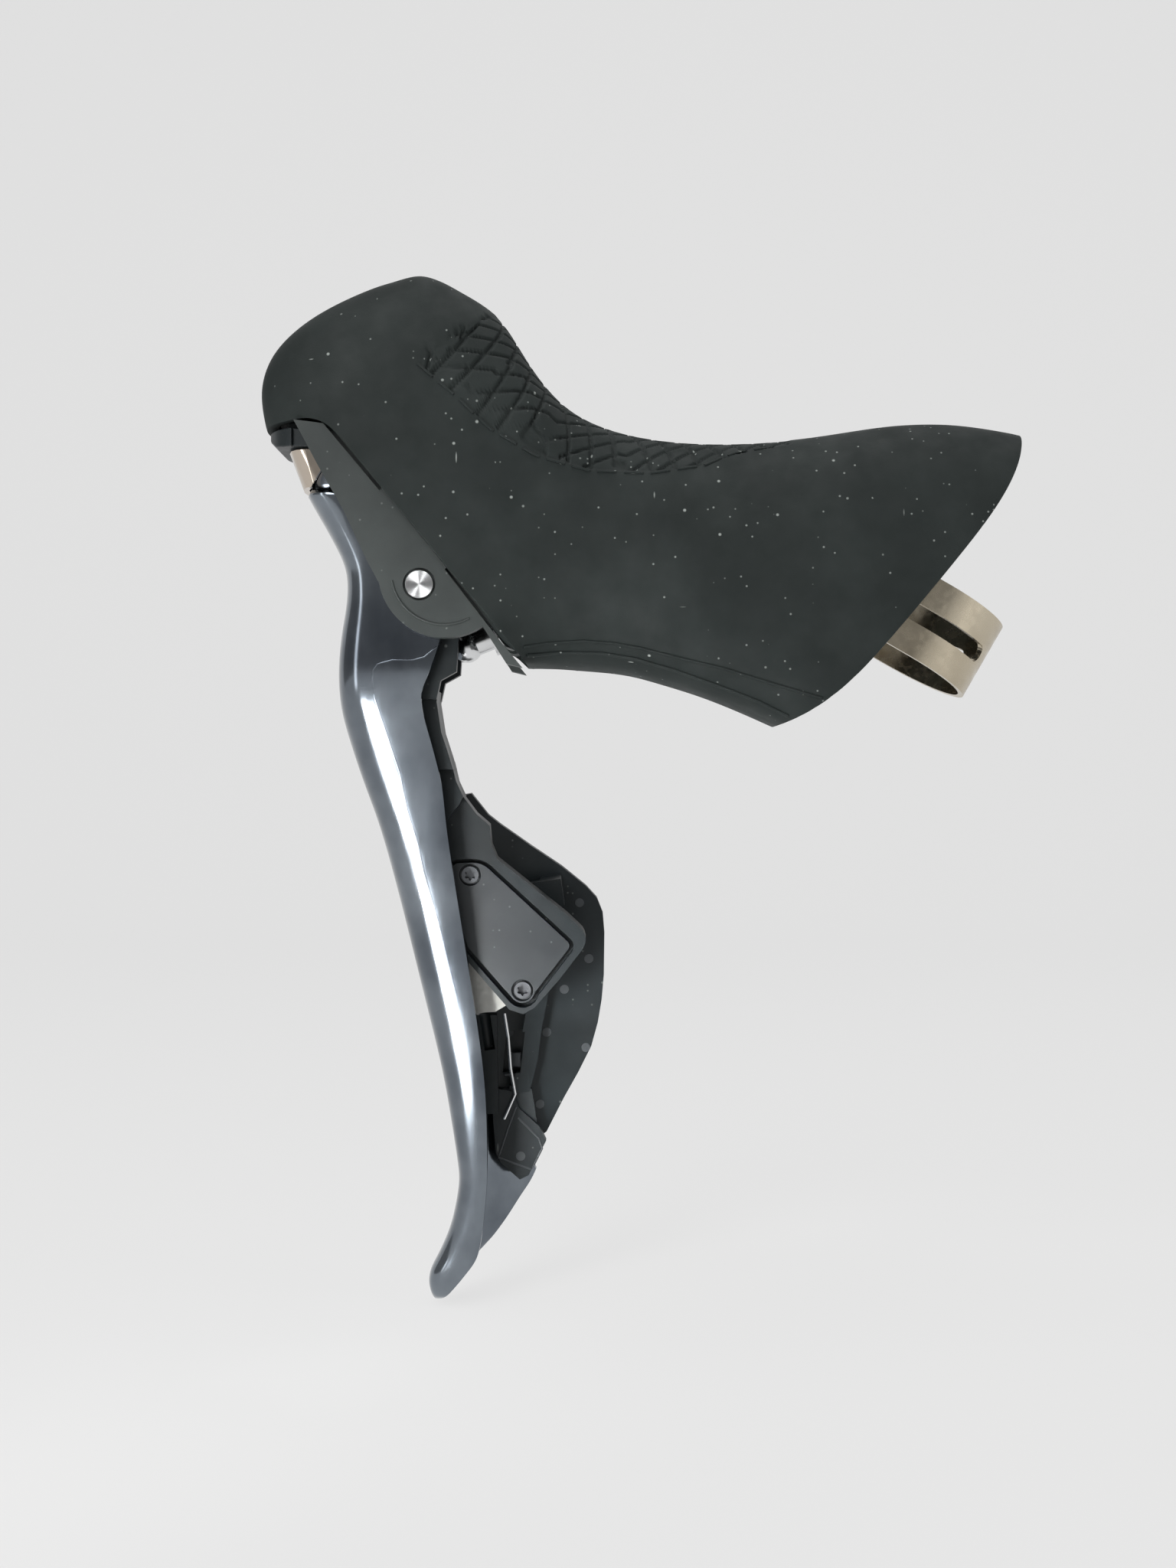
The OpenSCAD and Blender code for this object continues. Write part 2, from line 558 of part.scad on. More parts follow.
module push_rod() {
    color([0.80, 0.80, 0.80]) {
        along_bore(rod_d / 2, 2.4, piston_start + 2.1);
        at_bore() translate([2.6, 0, 0]) sphere(r = 2.6, $fn = 32);
        along_bore(rod_d / 2 + 1.2, 7, 8.2);
    }
}

// Points of a coil: turns of pitch wound about local X
module coil(r, wire_r, length, turns) {
    n = 14;
    loft([for (k = [0:turns * n]) let (a = 360 * k / n, x = wire_r + (length - 2 * wire_r) * k / (turns * n))
        [for (j = [0:5]) let (q = 60 * j) [x + wire_r * sin(q), (r + wire_r * cos(q)) * cos(a), (r + wire_r * cos(q)) * sin(a)]]]);
}
module piston_spring() {
    color([0.70, 0.70, 0.72]) at_bore() translate([piston_start + piston_l - 1.9, 0, 0])
        coil(bore_d / 2 - 2.4, 0.45, bore_end - piston_start - piston_l + 1.8, 5);
}

// Blade: each row is the height, then in plan the front, the crease and rear edge on the inner side,
// the crease and rear edge on the outer side, three places across the lever and how far it is filled
half_w = lever_w / 2;
blade_keys = [
    [28.3, -107.2, -104.5, -102.6, -104.5, -102.6, 1.3 - half_w, half_w - 1.3, half_w - 1.3, 0],
    [22.9, -105.2, -101.6, -99.2, -101.6, -99.2, 1.3 - half_w, half_w - 1.3, half_w - 1.3, 0],
    [21.9, -105.6, -101.2, -98.2, -101.2, -98.2, -half_w, half_w, half_w, 0],
    [17.8, -103.3, -98.2, -92.5, -98.2, -92.5, -half_w, half_w, half_w, 0],
    [12.5, -100.4, -95.5, -83.6, -95.5, -83.6, -half_w, half_w, half_w, 0],
    [9.0, -99.1, -94.2, -80.2, -94.2, -80.2, -half_w, half_w, half_w, 0],
    [5.5, -98.9, -93.7, -79.0, -93.7, -79.0, -half_w, half_w, half_w, 0],
    [2.0, -99.3, -93.4, -79.8, -93.4, -79.8, -half_w, half_w, half_w, 0],
    [-1.9, -100.0, -93.2, -81.8, -93.2, -82, -half_w, half_w, half_w, 0],
    [-7.3, -100.5, -93.3, -83.4, -93.3, -84, -half_w, half_w, half_w, 0],
    [-12.4, -100.4, -93.2, -85.5, -93.2, -86.5, 0.5 - half_w, half_w + 0.8, half_w + 0.8, 0],
    [-17.6, -99.5, -91.8, -84.6, -91.8, -86, 1.3 - half_w, half_w + 1.5, half_w + 1.5, 0],
    [-27.0, -96.6, -88.7, -82.1, -88.7, -84.6, 2.7 - half_w, half_w + 2.7, half_w + 2.7, 0],
    [-34.8, -93.8, -86.7, -81.4, -86.7, -83.2, 3.8 - half_w, half_w + 3.6, half_w + 3.7, 0],
    [-47.3, -90.5, -83.4, -79.7, -84.0, -81.2, 6.1 - half_w, half_w + 4.6, half_w + 4.8, 0],
    [-62.8, -86.9, -79.7, -77.4, -81.0, -78.7, 8.6 - half_w, half_w + 5.8, half_w + 6.0, 0],
    [-77.2, -83.5, -77.2, -75.5, -78.4, -76.2, 11.0 - half_w, half_w + 6.8, half_w + 7.3, 0],
    [-87.1, -81.8, -76.5, -75.0, -77.6, -74.8, 12.7 - half_w, half_w + 7.4, half_w + 8.6, 0],
    [-94.7, -80.7, -76.4, -75.0, -77.0, -69.6, 14.0 - half_w, half_w + 8.0, half_w + 12.0, 0],
    [-98.6, -80.4, -76.6, -75.1, -77.0, -66.7, 14.8 - half_w, half_w + 8.2, half_w + 13.6, 0],
    [-103.2, -81.1, -77.0, -75.5, -77.6, -69.5, 15.6 - half_w, half_w + 8.4, half_w + 12.6, 0],
    [-107.5, -82.2, -77.8, -76.0, -78.6, -72.3, 16.2 - half_w, half_w + 8.6, half_w + 11.6, 0.1],
    [-111.9, -84.1, -79.3, -76.9, -80.4, -75.7, 16.9 - half_w, half_w + 8.8, half_w + 10.6, 0.6],
    [-114.8, -85.6, -81.1, -78.9, -82.0, -78.7, 17.3 - half_w, half_w + 8.8, half_w + 9.8, 1],
    [-117.2, -86.0, -82.3, -80.8, -83.0, -81.0, 17.8 - half_w, half_w + 8.6, half_w + 9.2, 1],
    [-119.2, -85.5, -83.3, -82.5, -83.6, -82.7, 18.8 - half_w, half_w + 7.8, half_w + 8.0, 1],
    [-120.3, -84.9, -84.2, -83.9, -84.3, -84.0, 21.5 - half_w, half_w + 4.6, half_w + 4.7, 1]];
blade_steps = 2;
mid_share = 0.45;

// Plan section of the blade's outside, or of its inside when d is the wall
function blade_side(k, d) = let (f = k[1] + d, yn = k[6] + d, yo = k[7] - d, ye = k[8] - d,
    ym = lerp(k[6], k[7], mid_share))
    concat([for (t = [0, 0.5]) [lerp(k[3], k[2], t), yn]],
        [for (t = [0:0.25:1]) bend3([k[2], yn], [f, yn], [f, ym], t)],
        [for (t = [0.25:0.25:1]) bend3([f, ym], [f, yo], [k[4], yo], t)],
        [for (t = [0.5, 1]) [lerp(k[4], k[5], t), lerp(yo, ye, t)]]);
function blade_ring(k) = let (out = blade_side(k, 0), inn = blade_side(k, blade_t), n = len(out) - 1)
    [for (p = concat(out, [for (i = [n:-1:0]) lerp(inn[i],
        [lerp(k[3], k[5], i / n), lerp(k[6] + 0.3, k[8] - 0.3, i / n)], k[9])])) [p[0], p[1], k[0]]];
function blade_rings() = [for (i = [(len(blade_keys) - 1) * blade_steps:-1:0])
    blade_ring(along(blade_keys, i / blade_steps))];

pad_w = 3.2;
module brake_lever() {
    color([0.42, 0.46, 0.50]) difference() {
        union() {
            loft(blade_rings());
            // Rib behind the front wall that carries the pad for the push rod
            across(-pad_w, pad_w) polygon([[-99.0, 1.0], [-91.5, 1.0], pad_at(3.2), pad_at(-3.2), [-99.4, -12.6]]);
        }
        pin_y(pivot[0], pivot[1], pivot_d / 2 + bush_t + seat / 2, -lever_w, lever_w);
    }
}
// Point on the pad's face, s along it, in side view
pad_gap = 0.45;
function pad_at(s) = rod_tip + [-pad_gap * cos(bore_slope) - s * sin(bore_slope), -pad_gap * sin(bore_slope) + s * cos(bore_slope)];

module lever_bushings() {
    color([0.75, 0.62, 0.35]) for (s = [-1, 1]) scale([1, s, 1]) difference() {
        pin_y(pivot[0], pivot[1], pivot_d / 2 + bush_t, half_w - blade_t - 0.3, half_w);
        pin_y(pivot[0], pivot[1], pivot_d / 2 + fit, half_w - 4, half_w + cut);
    }
}

// Plated trim round the lever's upper end, open to the rear: it follows the blade's plan at a gap
trim_t = 1.0;
trim_gap = 0.12;
trim_z = [blade_keys[1][0] + 0.1, 28.4, 29.2];
trim_side = [[-108.4, trim_z[2]], [-108.9, 27.6], [-108.2, 25.6], [-106.8, trim_z[0]], [-104.2, trim_z[0]], [-102.4, 25.8],
    [-104.3, trim_z[2]]];
function trim_row(z) = lerp(blade_keys[1], blade_keys[0], (z - blade_keys[1][0]) / (blade_keys[0][0] - blade_keys[1][0]));
function trim_ring(z, d) = let (side = blade_side(trim_row(z), -d), n = len(side))
    [for (p = concat(side, [(side[0] + side[n - 1]) / 2])) [p[0], p[1], z]];
module trim_plate() {
    color([0.72, 0.66, 0.60]) difference() {
        intersection() {
            across(-half_w, half_w) polygon(trim_side);
            loft([for (z = [trim_z[0] - 1, trim_z[2] + 1]) trim_ring(z, trim_gap + trim_t)]);
        }
        loft([for (z = [trim_z[0] - 2, trim_z[1]]) trim_ring(z, trim_gap)]);
        translate([blade_keys[1][3], -half_w, trim_z[0] - 1]) cube([10, 2 * half_w, trim_z[1] - trim_z[0] + 1]);
    }
}

// Frame of the switch unit: side-view places hold, and it leans outward with the blade
lean_out = 4.7;
lean_z = -54;
module at_switch() { translate([0, 0, lean_z]) rotate([lean_out, 0, 0]) translate([0, 0, -lean_z]) children(); }

cover_y = 1.8;
housing_y = cover_y - 0.6;
floor_y = cover_y + cover_t + fit;
housing_back = floor_y + 1.9;
frame_y = housing_back + fit;
frame_back = frame_y + 2.0;
cover_outline = concat([[-81.2, -47.0], [-80.9, -41.9], [-80.2, -41.4], [-77.4, -41.3]],
    arc([-77.2, -45.2], 3.9, 84, 48, 3), arc([-61.5, -56.0], 1.1, 48, -40, 4), [[-66.4, -64.2]],
    arc([-68.7, -64.0], 2.2, -20, -138, 6), [[-78.3, -56.3]]);
cover_screws_at = [[-77.8, -43.5], [-68.7, -63.9]];
housing_outline = concat([[-84.4, -30.0], [-79.4, -29.0], [-76.6, -32.8], [-74.3, -34.8], [-74.0, -38.2]],
    [[-73.0, -40.6], [-67.1, -45.4], [-61.0, -50.3]], arc([-60.6, -54.8], 3.0, 50, -40, 6),
    [[-62.0, -61.6], [-66.6, -66.9], [-68.6, -68.0], [-71.0, -67.2], [-79.4, -57.3], [-82.2, -47.0], [-83.2, -41.2], [-84.2, -37.0]]);
carrier_y = [4.3, 6.9];

// Outline moved outward by d, each point square to its neighbours' chord
function grow(pts, d) = [for (i = [0:len(pts) - 1]) let (n = len(pts),
    t = unit(pts[(i + 1) % n] - pts[(i + n - 1) % n])) pts[i] + d * [-t[1], t[0]]];

module switch_housing() {
    color([0.13, 0.14, 0.15]) {
        at_switch() difference() {
            across(housing_y, housing_back) polygon(housing_outline);
            across(housing_y - cut, floor_y) polygon(grow(cover_outline, cover_gap));
            for (p = cover_screws_at) pin_y(p[0], p[1], screw_d / 2 - 0.1, 0, 20);
        }
        difference() {
            union() {
                // Arms that hang from the pivot pin on both sides of the push rod
                for (s = [-1, 1]) scale([1, s, 1]) {
                    pin_y(pivot[0], pivot[1], 4.6, arm_y[0], arm_y[1]);
                    across(arm_y[0], arm_y[1]) polygon(arm_outline);
                }
                across(-4.8, arm_y[1]) polygon([[-88.4, -11.5], [-83.0, -11.5], [-83.2, -13.4], [-82.4, -18.6],
                    [-81.1, -22.6], [-80.4, -25.0], [-86.5, -25.0]]);
                across(-2.8, arm_y[1] + 0.6) polygon([[-86.5, -23.6], [-80.8, -23.6], [-80.0, -27.0], [-78.8, -29.6],
                    [-79.4, -31.0], [-83.5, -36.0], [-85.5, -34.0]]);
            }
            pin_y(pivot[0], pivot[1], pivot_d / 2 + fit, -20, 20);
        }
    }
}
arm_y = [4.2, half_w - blade_t - 0.9];
arm_outline = [pivot + [-4.1, -2.0], pivot + [4.3, -2.0], pivot + [6.2, -7.8], [-79.7, -8.3], [-82.4, -9.8], [-83.1, -13.0], [-88.2, -13.0]];

// Hinge of the two paddles: local Z runs up the pin, local X to the rear
hinge_c = [-78.0, 10.2, -54];
hinge_lean = 8;
hinge_half = 15;
module at_hinge() {
    at_switch() translate(hinge_c) rotate([0, -hinge_lean, 0]) children();
}
knuckle_r = 1.9;
module knuckle(z0, z1) { at_hinge() translate([0, 0, z0]) cylinder(r = knuckle_r, h = z1 - z0, $fn = 32); }
module pin_hole() { at_hinge() cylinder(d = paddle_pin_d + 2 * fit, h = 3 * hinge_half, center = true, $fn = 32); }
lug_l = 3;
lug_z = [-hinge_half, -lug_l / 2, hinge_half - lug_l];
slot_l = (2 * hinge_half - 3 * lug_l) / 4;      // length of pin that each knuckle has
knuckle_gap = 0.15;
function knuckle_z(k) = (k < 2 ? lug_z[0] : lug_z[1]) + lug_l + (k % 2) * slot_l;

frame_outline = [[-85.5, -38.2], [-82.5, -37.6], [-78.5, -37.6], [-73.5, -43.0], [-63.0, -52.0], [-63.0, -58.0],
    [-68.5, -66.0], [-71.8, -67.3], [-73.6, -68.4], [-77.0, -68.6], [-79.2, -62.0], [-83.0, -47.0]];
module switch_frame() {
    color([0.60, 0.59, 0.57]) difference() {
        union() {
            at_switch() across(frame_y, frame_back) polygon(frame_outline);
            at_hinge() for (z = lug_z) {
                translate([-knuckle_r, frame_back - 0.6 - hinge_c[1], z]) cube([2 * knuckle_r, hinge_c[1] - frame_back + 0.6, lug_l]);
                translate([0, 0, z]) cylinder(r = knuckle_r, h = lug_l, $fn = 32);
            }
        }
        at_hinge() cylinder(d = paddle_pin_d + 2 * fit, h = 2 * hinge_half + 2, center = true, $fn = 32);
        at_switch() for (p = cover_screws_at) pin_y(p[0], p[1], screw_d / 2 - 0.25, 0, 20);
    }
}

module switch_cover() {
    color([0.24, 0.25, 0.26]) at_switch() difference() {
        across(cover_y, cover_y + cover_t) polygon(cover_outline);
        for (p = cover_screws_at) {
            pin_y(p[0], p[1], cover_screw_d / 2 + 0.35, cover_y - cut, cover_y + cover_t * 0.6);
            pin_y(p[0], p[1], screw_d / 2 - 0.1, cover_y - cut, cover_y + 5);
        }
    }
}

module cover_screws() {
    color([0.33, 0.33, 0.34]) at_switch() for (p = cover_screws_at) difference() {
        union() {
            pin_y(p[0], p[1], cover_screw_d / 2, cover_y + 0.1, cover_y + cover_t * 0.6);
            pin_y(p[0], p[1], screw_d / 2 - 0.3, cover_y + 0.1, frame_back - 0.1);
        }
        pin_y(p[0], p[1], 0.75, cover_y, cover_y + 0.6);
    }
}

module paddle_pin() {
    color([0.75, 0.75, 0.76]) at_hinge() cylinder(d = paddle_pin_d, h = 2 * hinge_half - 0.4, center = true, $fn = 32);
}

// Curved plate that both paddles are cut from
skin_y = 16.6;
skin_x = 24;
module skin(y0, y1) {
    at_hinge() translate([skin_x, skin_y - hinge_c[1] - paddle_r, 0]) difference() {
        cylinder(r = paddle_r + y1, h = 140, center = true, $fn = 180);
        cylinder(r = paddle_r + y0, h = 141, center = true, $fn = 180);
    }
}
groove = [[-77.5, -40.0], [-70.5, -46.5], [-66.0, -51.0], [-64.8, -55.0], [-64.8, -60.0], [-66.4, -68.9], [-67.2, -73.0], [-68.0, -79.0],
    [-69.4, -84.5], [-72.0, -88.5], [-74.6, -92.6]];
rear_edge = [[-76.6, -35.6], [-79.6, -30.5], [-78.2, -30.3], [-75.2, -34.2], [-73.0, -36.0], [-67.5, -40.0], [-62.0, -43.8], [-57.6, -47.4],
    [-55.6, -49.6], [-54.5, -52.4], [-54.2, -56.0], [-54.3, -63.8], [-54.7, -68.4], [-55.4, -72.6], [-56.6, -77.0],
    [-59.0, -81.8], [-61.6, -86.4], [-64.8, -92.6], [-66.0, -93.4]];
rear_outline = concat(rear_edge, [for (i = [len(groove) - 3:-1:0]) groove[i] + [paddle_gap / 2, paddle_gap / 2]]);
front_outline = concat([for (i = [0:len(groove) - 2]) groove[i] - [paddle_gap / 2, paddle_gap / 2]],
    [[-74.1, -87.4], [-75.2, -80.0], [-76.6, -70.0], [-78.9, -58.0], [-80.4, -47.0], [-81.4, -41.0], [-80.9, -38.7]]);
window = [[-72.0, -73.7], [-68.6, -73.5], [-69.5, -80.9], [-72.7, -81.2]];
tab_outline = [[-74.6, -83.6], [-70.8, -84.4], [-69.7, -87.4], [-66.0, -90.8], [-64.8, -93.4], [-68.0, -99.8], [-69.6, -100.6],
    [-73.0, -97.6], [-73.9, -95.8], [-74.4, -90.0]];
tab_y = [11.6, 13.2];
window_back = 15.1;
lip_y = -1.3;
lip_t = 1.0;
flange_y = [9.8, 11.6];
// Strip along the lower part of the groove, from x0 to x1 beside it
lip_line = concat([lerp(groove[4], groove[5], 0.4)], [for (i = [5:len(groove) - 3]) groove[i]]);
function groove_strip(x0, x1) = concat([for (p = lip_line) p + [x0, 0]],
    [for (i = [len(lip_line) - 1:-1:0]) lip_line[i] + [x1, 0]]);
module front_paddle() {
    color([0.15, 0.16, 0.17]) difference() {
        union() {
            intersection() {
                skin(0, paddle_t);
                at_switch() across(5, 30) polygon(front_outline);
            }
            at_switch() across(tab_y[0], tab_y[1]) polygon(tab_outline);
            at_switch() across(tab_y[1] - lip_t, tab_y[1])
                polygon([[-71.4, -83.4], [-67.4, -84.0], [-66.4, -90.6], [-70.4, -89.0], [-71.6, -85.6]]);
            at_switch() across(tab_y[0], skin_y) polygon([[-74.4, -83.8], [-70.9, -84.5], [-72.0, -87.6], [-74.2, -87.2]]);
            for (k = [0, 3]) paddle_arm(k, -knuckle_r, 0, skin_y - 2.0);
            // Lip under the edge of the rear paddle, and the web that carries it
            intersection() {
                skin(lip_y - lip_t, lip_y);
                at_switch() across(5, 30) polygon(groove_strip(-1.8, 1.6));
            }
            intersection() {
                skin(lip_y - lip_t, 0.3);
                at_switch() across(5, 30) polygon(groove_strip(-1.8, -0.9));
            }
            // Flange that stands in the blade's channel
            at_switch() {
                across(flange_y[0], flange_y[1]) polygon([[-79.0, -69.9], [-73.6, -69.9], [-73.4, -88.0], [-76.2, -88.0],
                    [-78.4, -80.0]]);
                across(flange_y[0], flange_y[1] + 2.2) polygon([[-76.2, -70.4], [-74.6, -70.4], [-73.8, -84.2], [-75.0, -84.2]]);
            }
        }
        pin_hole();
        at_switch() across(5, window_back) polygon(window);
    }
}

// Knuckle number k with a riser from x0 to the skin
module paddle_arm(k, x0, reach, top) {
    z0 = knuckle_z(k) + knuckle_gap;
    z1 = knuckle_z(k) + slot_l - knuckle_gap;
    knuckle(z0, z1);
    at_hinge() {
        if (reach > 0) translate([0, -1.1, z0]) cube([reach, 2.2, z1 - z0]);
        translate([x0, 0, z0]) cube([2 * knuckle_r, top - hinge_c[1], z1 - z0]);
    }
}
rear_reach = 17;
module rear_paddle() {
    color([0.15, 0.16, 0.17]) difference() {
        union() {
            intersection() {
                skin(0, paddle_t);
                at_switch() across(5, 30) polygon(rear_outline);
            }
            for (k = [1, 2]) paddle_arm(k, rear_reach - 2 * knuckle_r, rear_reach, skin_y + 0.2);
        }
        pin_hole();
    }
}

// Round wire through a list of points that run mostly along Z
module wire(pts, r) {
    loft([for (p = pts) [for (j = [0:7]) p + r * [cos(45 * j), -sin(45 * j), 0]]]);
}
module front_spring() {
    color([0.75, 0.75, 0.76]) at_switch() wire([[-72.4, 10.9, -89.2], [-70.4, 10.9, -84.6],
        [-71.2, 11.0, -80], [-71.6, 10.4, -74], [-72.2, 9.0, -69.4]], 0.35);
}
module rear_spring() {
    color([0.75, 0.75, 0.76]) at_switch() wire([[-68.0, 7.7, -62.0], [-68.0, 8.4, -60.5], [-69.5, 8.5, -57.0]], 0.35);
}

bracket_body();
hood_cover();
nose_cover();
clamp_band();
clamp_nut();
clamp_bolt();
lever_axle();
axle_screw();
reach_screw();
reservoir_diaphragm();
reservoir_lid();
lid_screws();
bleed_screw();
hose_nut();
battery_cover();
battery_screws();
coin_cells();
battery_contact();
circuit_board();
board_cover();
button_switch();
top_button();
piston();
piston_seals();
push_rod();
piston_spring();
brake_lever();
trim_plate();
lever_bushings();
switch_housing();
switch_frame();
switch_cover();
cover_screws();
paddle_pin();
front_spring();
rear_spring();
front_paddle();
rear_paddle();
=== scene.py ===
# %% [markdown]
# # An electronic shift and brake lever
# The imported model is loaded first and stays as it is. Each step then dresses one kind of piece: the rubber hood, the
# polished blade, the moulded plastic, the steel. Sizes are in metres, and `MM` turns millimetres into them.

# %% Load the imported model
import json
import math

import bmesh
import bpy
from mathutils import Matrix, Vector
from mathutils.bvhtree import BVHTree


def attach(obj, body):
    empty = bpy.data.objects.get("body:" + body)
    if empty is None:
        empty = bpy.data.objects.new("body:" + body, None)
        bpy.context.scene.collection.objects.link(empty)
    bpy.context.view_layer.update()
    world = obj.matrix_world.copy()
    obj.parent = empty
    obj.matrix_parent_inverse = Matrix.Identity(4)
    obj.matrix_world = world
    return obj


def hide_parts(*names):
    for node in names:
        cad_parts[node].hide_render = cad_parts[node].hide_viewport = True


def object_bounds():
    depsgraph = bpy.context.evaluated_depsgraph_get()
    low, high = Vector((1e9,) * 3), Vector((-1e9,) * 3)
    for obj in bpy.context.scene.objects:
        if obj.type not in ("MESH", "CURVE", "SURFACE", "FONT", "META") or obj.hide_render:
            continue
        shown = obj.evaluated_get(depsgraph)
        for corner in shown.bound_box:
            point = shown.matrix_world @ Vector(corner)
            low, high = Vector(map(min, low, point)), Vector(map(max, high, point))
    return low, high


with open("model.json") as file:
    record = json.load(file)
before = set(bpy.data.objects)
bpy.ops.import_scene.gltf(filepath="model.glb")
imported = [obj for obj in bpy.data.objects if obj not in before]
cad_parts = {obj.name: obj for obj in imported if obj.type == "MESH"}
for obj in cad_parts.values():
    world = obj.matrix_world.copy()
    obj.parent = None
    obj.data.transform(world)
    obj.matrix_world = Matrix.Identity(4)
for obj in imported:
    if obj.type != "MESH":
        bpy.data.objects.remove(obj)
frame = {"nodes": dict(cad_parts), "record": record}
cad_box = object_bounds()
MM = 0.001
nodes = frame["nodes"]
body_of_node = {n: b for b, members in frame["record"]["behaviour"]["bodies"].items() for n in members}
slot_of_node = {s["node"]: s["material_slot"] for s in frame["record"]["subparts"]}
print(len(nodes), "nodes, box", [tuple(round(x, 4) for x in c) for c in cad_box])

# %% [markdown]
# ## Camera
# The photograph looks square at the lever's inner side, so the camera looks along +Y. Its distance is an estimate. The
# lens then follows from the scale at the lever's middle plane, 7.5 pixels to the millimetre, which also gives a ray for
# each pixel of the photograph.

# %% Camera
CAMERA_AT = Vector((-0.0572, -0.340, -0.0275))
PHOTO_W, PHOTO_H, FOCAL_PX = 1536, 2048, 2550
SENSOR_MM = 36
camera_data = bpy.data.cameras.new("camera")
camera_data.lens = SENSOR_MM * FOCAL_PX / PHOTO_H
camera_data.clip_start, camera_data.clip_end = 0.01, 20
camera = bpy.data.objects.new("camera", camera_data)
camera.location = CAMERA_AT
camera.rotation_euler = (math.radians(90), 0, 0)
bpy.context.scene.collection.objects.link(camera)
bpy.context.scene.camera = camera
bpy.context.scene.view_settings.view_transform = "Standard"


def photo_ray(px, py):
    """Direction from the camera through a pixel of the photograph."""
    return Vector(((px - PHOTO_W / 2) / FOCAL_PX, 1, (PHOTO_H / 2 - py) / FOCAL_PX)).normalized()


print("lens", round(camera_data.lens, 1), "mm")

# %% [markdown]
# ## Helpers for meshes
# A CAD node comes as loose triangles. A copy is merged and its flat faces are joined again, so that a bevel can run
# round its edges. The copy then replaces the node and lies exactly where the node does.

# %% Copies of CAD nodes
ROUND_DEG = 32
ROUND_SEGMENTS = 3


def add_piece(name, bm, body, material, replaces=()):
    """Turns a bmesh into a piece that rides on a body."""
    mesh = bpy.data.meshes.new(name)
    bm.to_mesh(mesh)
    bm.free()
    piece = bpy.data.objects.new(name, mesh)
    bpy.context.scene.collection.objects.link(piece)
    mesh.materials.append(material)
    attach(piece, body)
    if replaces:
        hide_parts(*replaces)
    return piece


def merged(node):
    """A bmesh of a CAD node with its loose triangles joined at their corners."""
    bm = bmesh.new()
    bm.from_mesh(nodes[node].data)
    bmesh.ops.remove_doubles(bm, verts=bm.verts, dist=1e-6)
    return bm


def soften(bm, sharp_deg):
    """Smooth shading with hard edges where two faces meet at more than sharp_deg."""
    for f in bm.faces:
        f.smooth = True
    for e in bm.edges:
        e.smooth = e.is_manifold and e.calc_face_angle(0) < math.radians(sharp_deg)


def dressed(node, round_mm):
    """A copy of a node with small rounds on its edges, in the finish of its slot."""
    bm = merged(node)
    bmesh.ops.dissolve_limit(bm, angle_limit=math.radians(0.6), verts=bm.verts, edges=bm.edges)
    soften(bm, ROUND_DEG)
    slot = slot_of_node[node]
    piece = add_piece(node + "_dressed", bm, body_of_node[node], finishes[slot], [node])
    bevel = piece.modifiers.new("round", "BEVEL")
    bevel.width, bevel.segments = round_mm * MM, ROUND_SEGMENTS
    bevel.limit_method, bevel.angle_limit = "ANGLE", math.radians(ROUND_DEG)
    bevel.harden_normals = True
    return piece


# %% [markdown]
# ## Finishes
# Each finish is a small network: noise at two scales moves the colour, a finer noise moves the roughness and the bump.
# One flat colour would be quicker, but rubber, plastic and metal differ mainly in how uneven they are.

# %% Node helpers
def linear(r, g, b):
    """An sRGB colour, 0 to 255, as the linear values that a shader takes."""
    return tuple(((c / 255 + 0.055) / 1.055) ** 2.4 if c > 10 else c / 255 / 12.92 for c in (r, g, b)) + (1,)


class Shader:
    """A Principled material that is built one node at a time."""

    def __init__(self, name, **constants):
        self.material = bpy.data.materials.new(name)
        self.material.use_nodes = True
        self.tree = self.material.node_tree
        self.bsdf = self.tree.nodes["Principled BSDF"]
        for socket, value in constants.items():
            self.bsdf.inputs[socket.replace("_", " ")].default_value = value

    def set_input(self, socket, value):
        """Links a socket to another one, or sets it to a plain value."""
        if isinstance(value, bpy.types.NodeSocket):
            self.tree.links.new(value, socket)
        else:
            socket.default_value = value

    def add(self, kind, inputs=None, **settings):
        node = self.tree.nodes.new("ShaderNode" + kind)
        for key, value in settings.items():
            setattr(node, key, value)
        for key, value in (inputs or {}).items():
            self.set_input(node.inputs[key], value)
        return node

    def object_place(self):
        return self.add("TexCoord").outputs["Object"]

    def place(self, stretch=(1, 1, 1)):
        """Object coordinates, stretched along the axes."""
        return self.add("Mapping", {"Vector": self.object_place(), "Scale": stretch}).outputs["Vector"]

    def noise(self, scale, detail=4.0, stretch=(1, 1, 1)):
        return self.add("TexNoise", {"Vector": self.place(stretch), "Scale": scale, "Detail": detail}).outputs["Fac"]

    def ramp(self, fac, stops):
        node = self.add("ValToRGB", {"Fac": fac})
        for element, (at, colour) in zip(node.color_ramp.elements, stops):
            element.position, element.color = at, colour
        return node.outputs["Color"]

    def spread(self, fac, low, high, start=0.0, end=1.0):
        """Maps start to end onto low to high."""
        limits = {"From Min": start, "From Max": end, "To Min": low, "To Max": high}
        return self.add("MapRange", {"Value": fac} | limits).outputs["Result"]

    def math(self, operation, a, b=0):
        return self.add("Math", {0: a, 1: b}, operation=operation).outputs[0]

    def mix(self, fac, a, b):
        """Mixes two colours: sockets 0, 6 and 7 are the factor and the two colours, output 2 is the colour."""
        return self.add("Mix", {0: fac, 6: a, 7: b}, data_type="RGBA").outputs[2]

    def bump(self, height, distance, strength=1.0):
        return self.add("Bump", {"Height": height, "Distance": distance, "Strength": strength}).outputs["Normal"]

    def join(self, socket, value):
        self.tree.links.new(value, self.bsdf.inputs[socket])


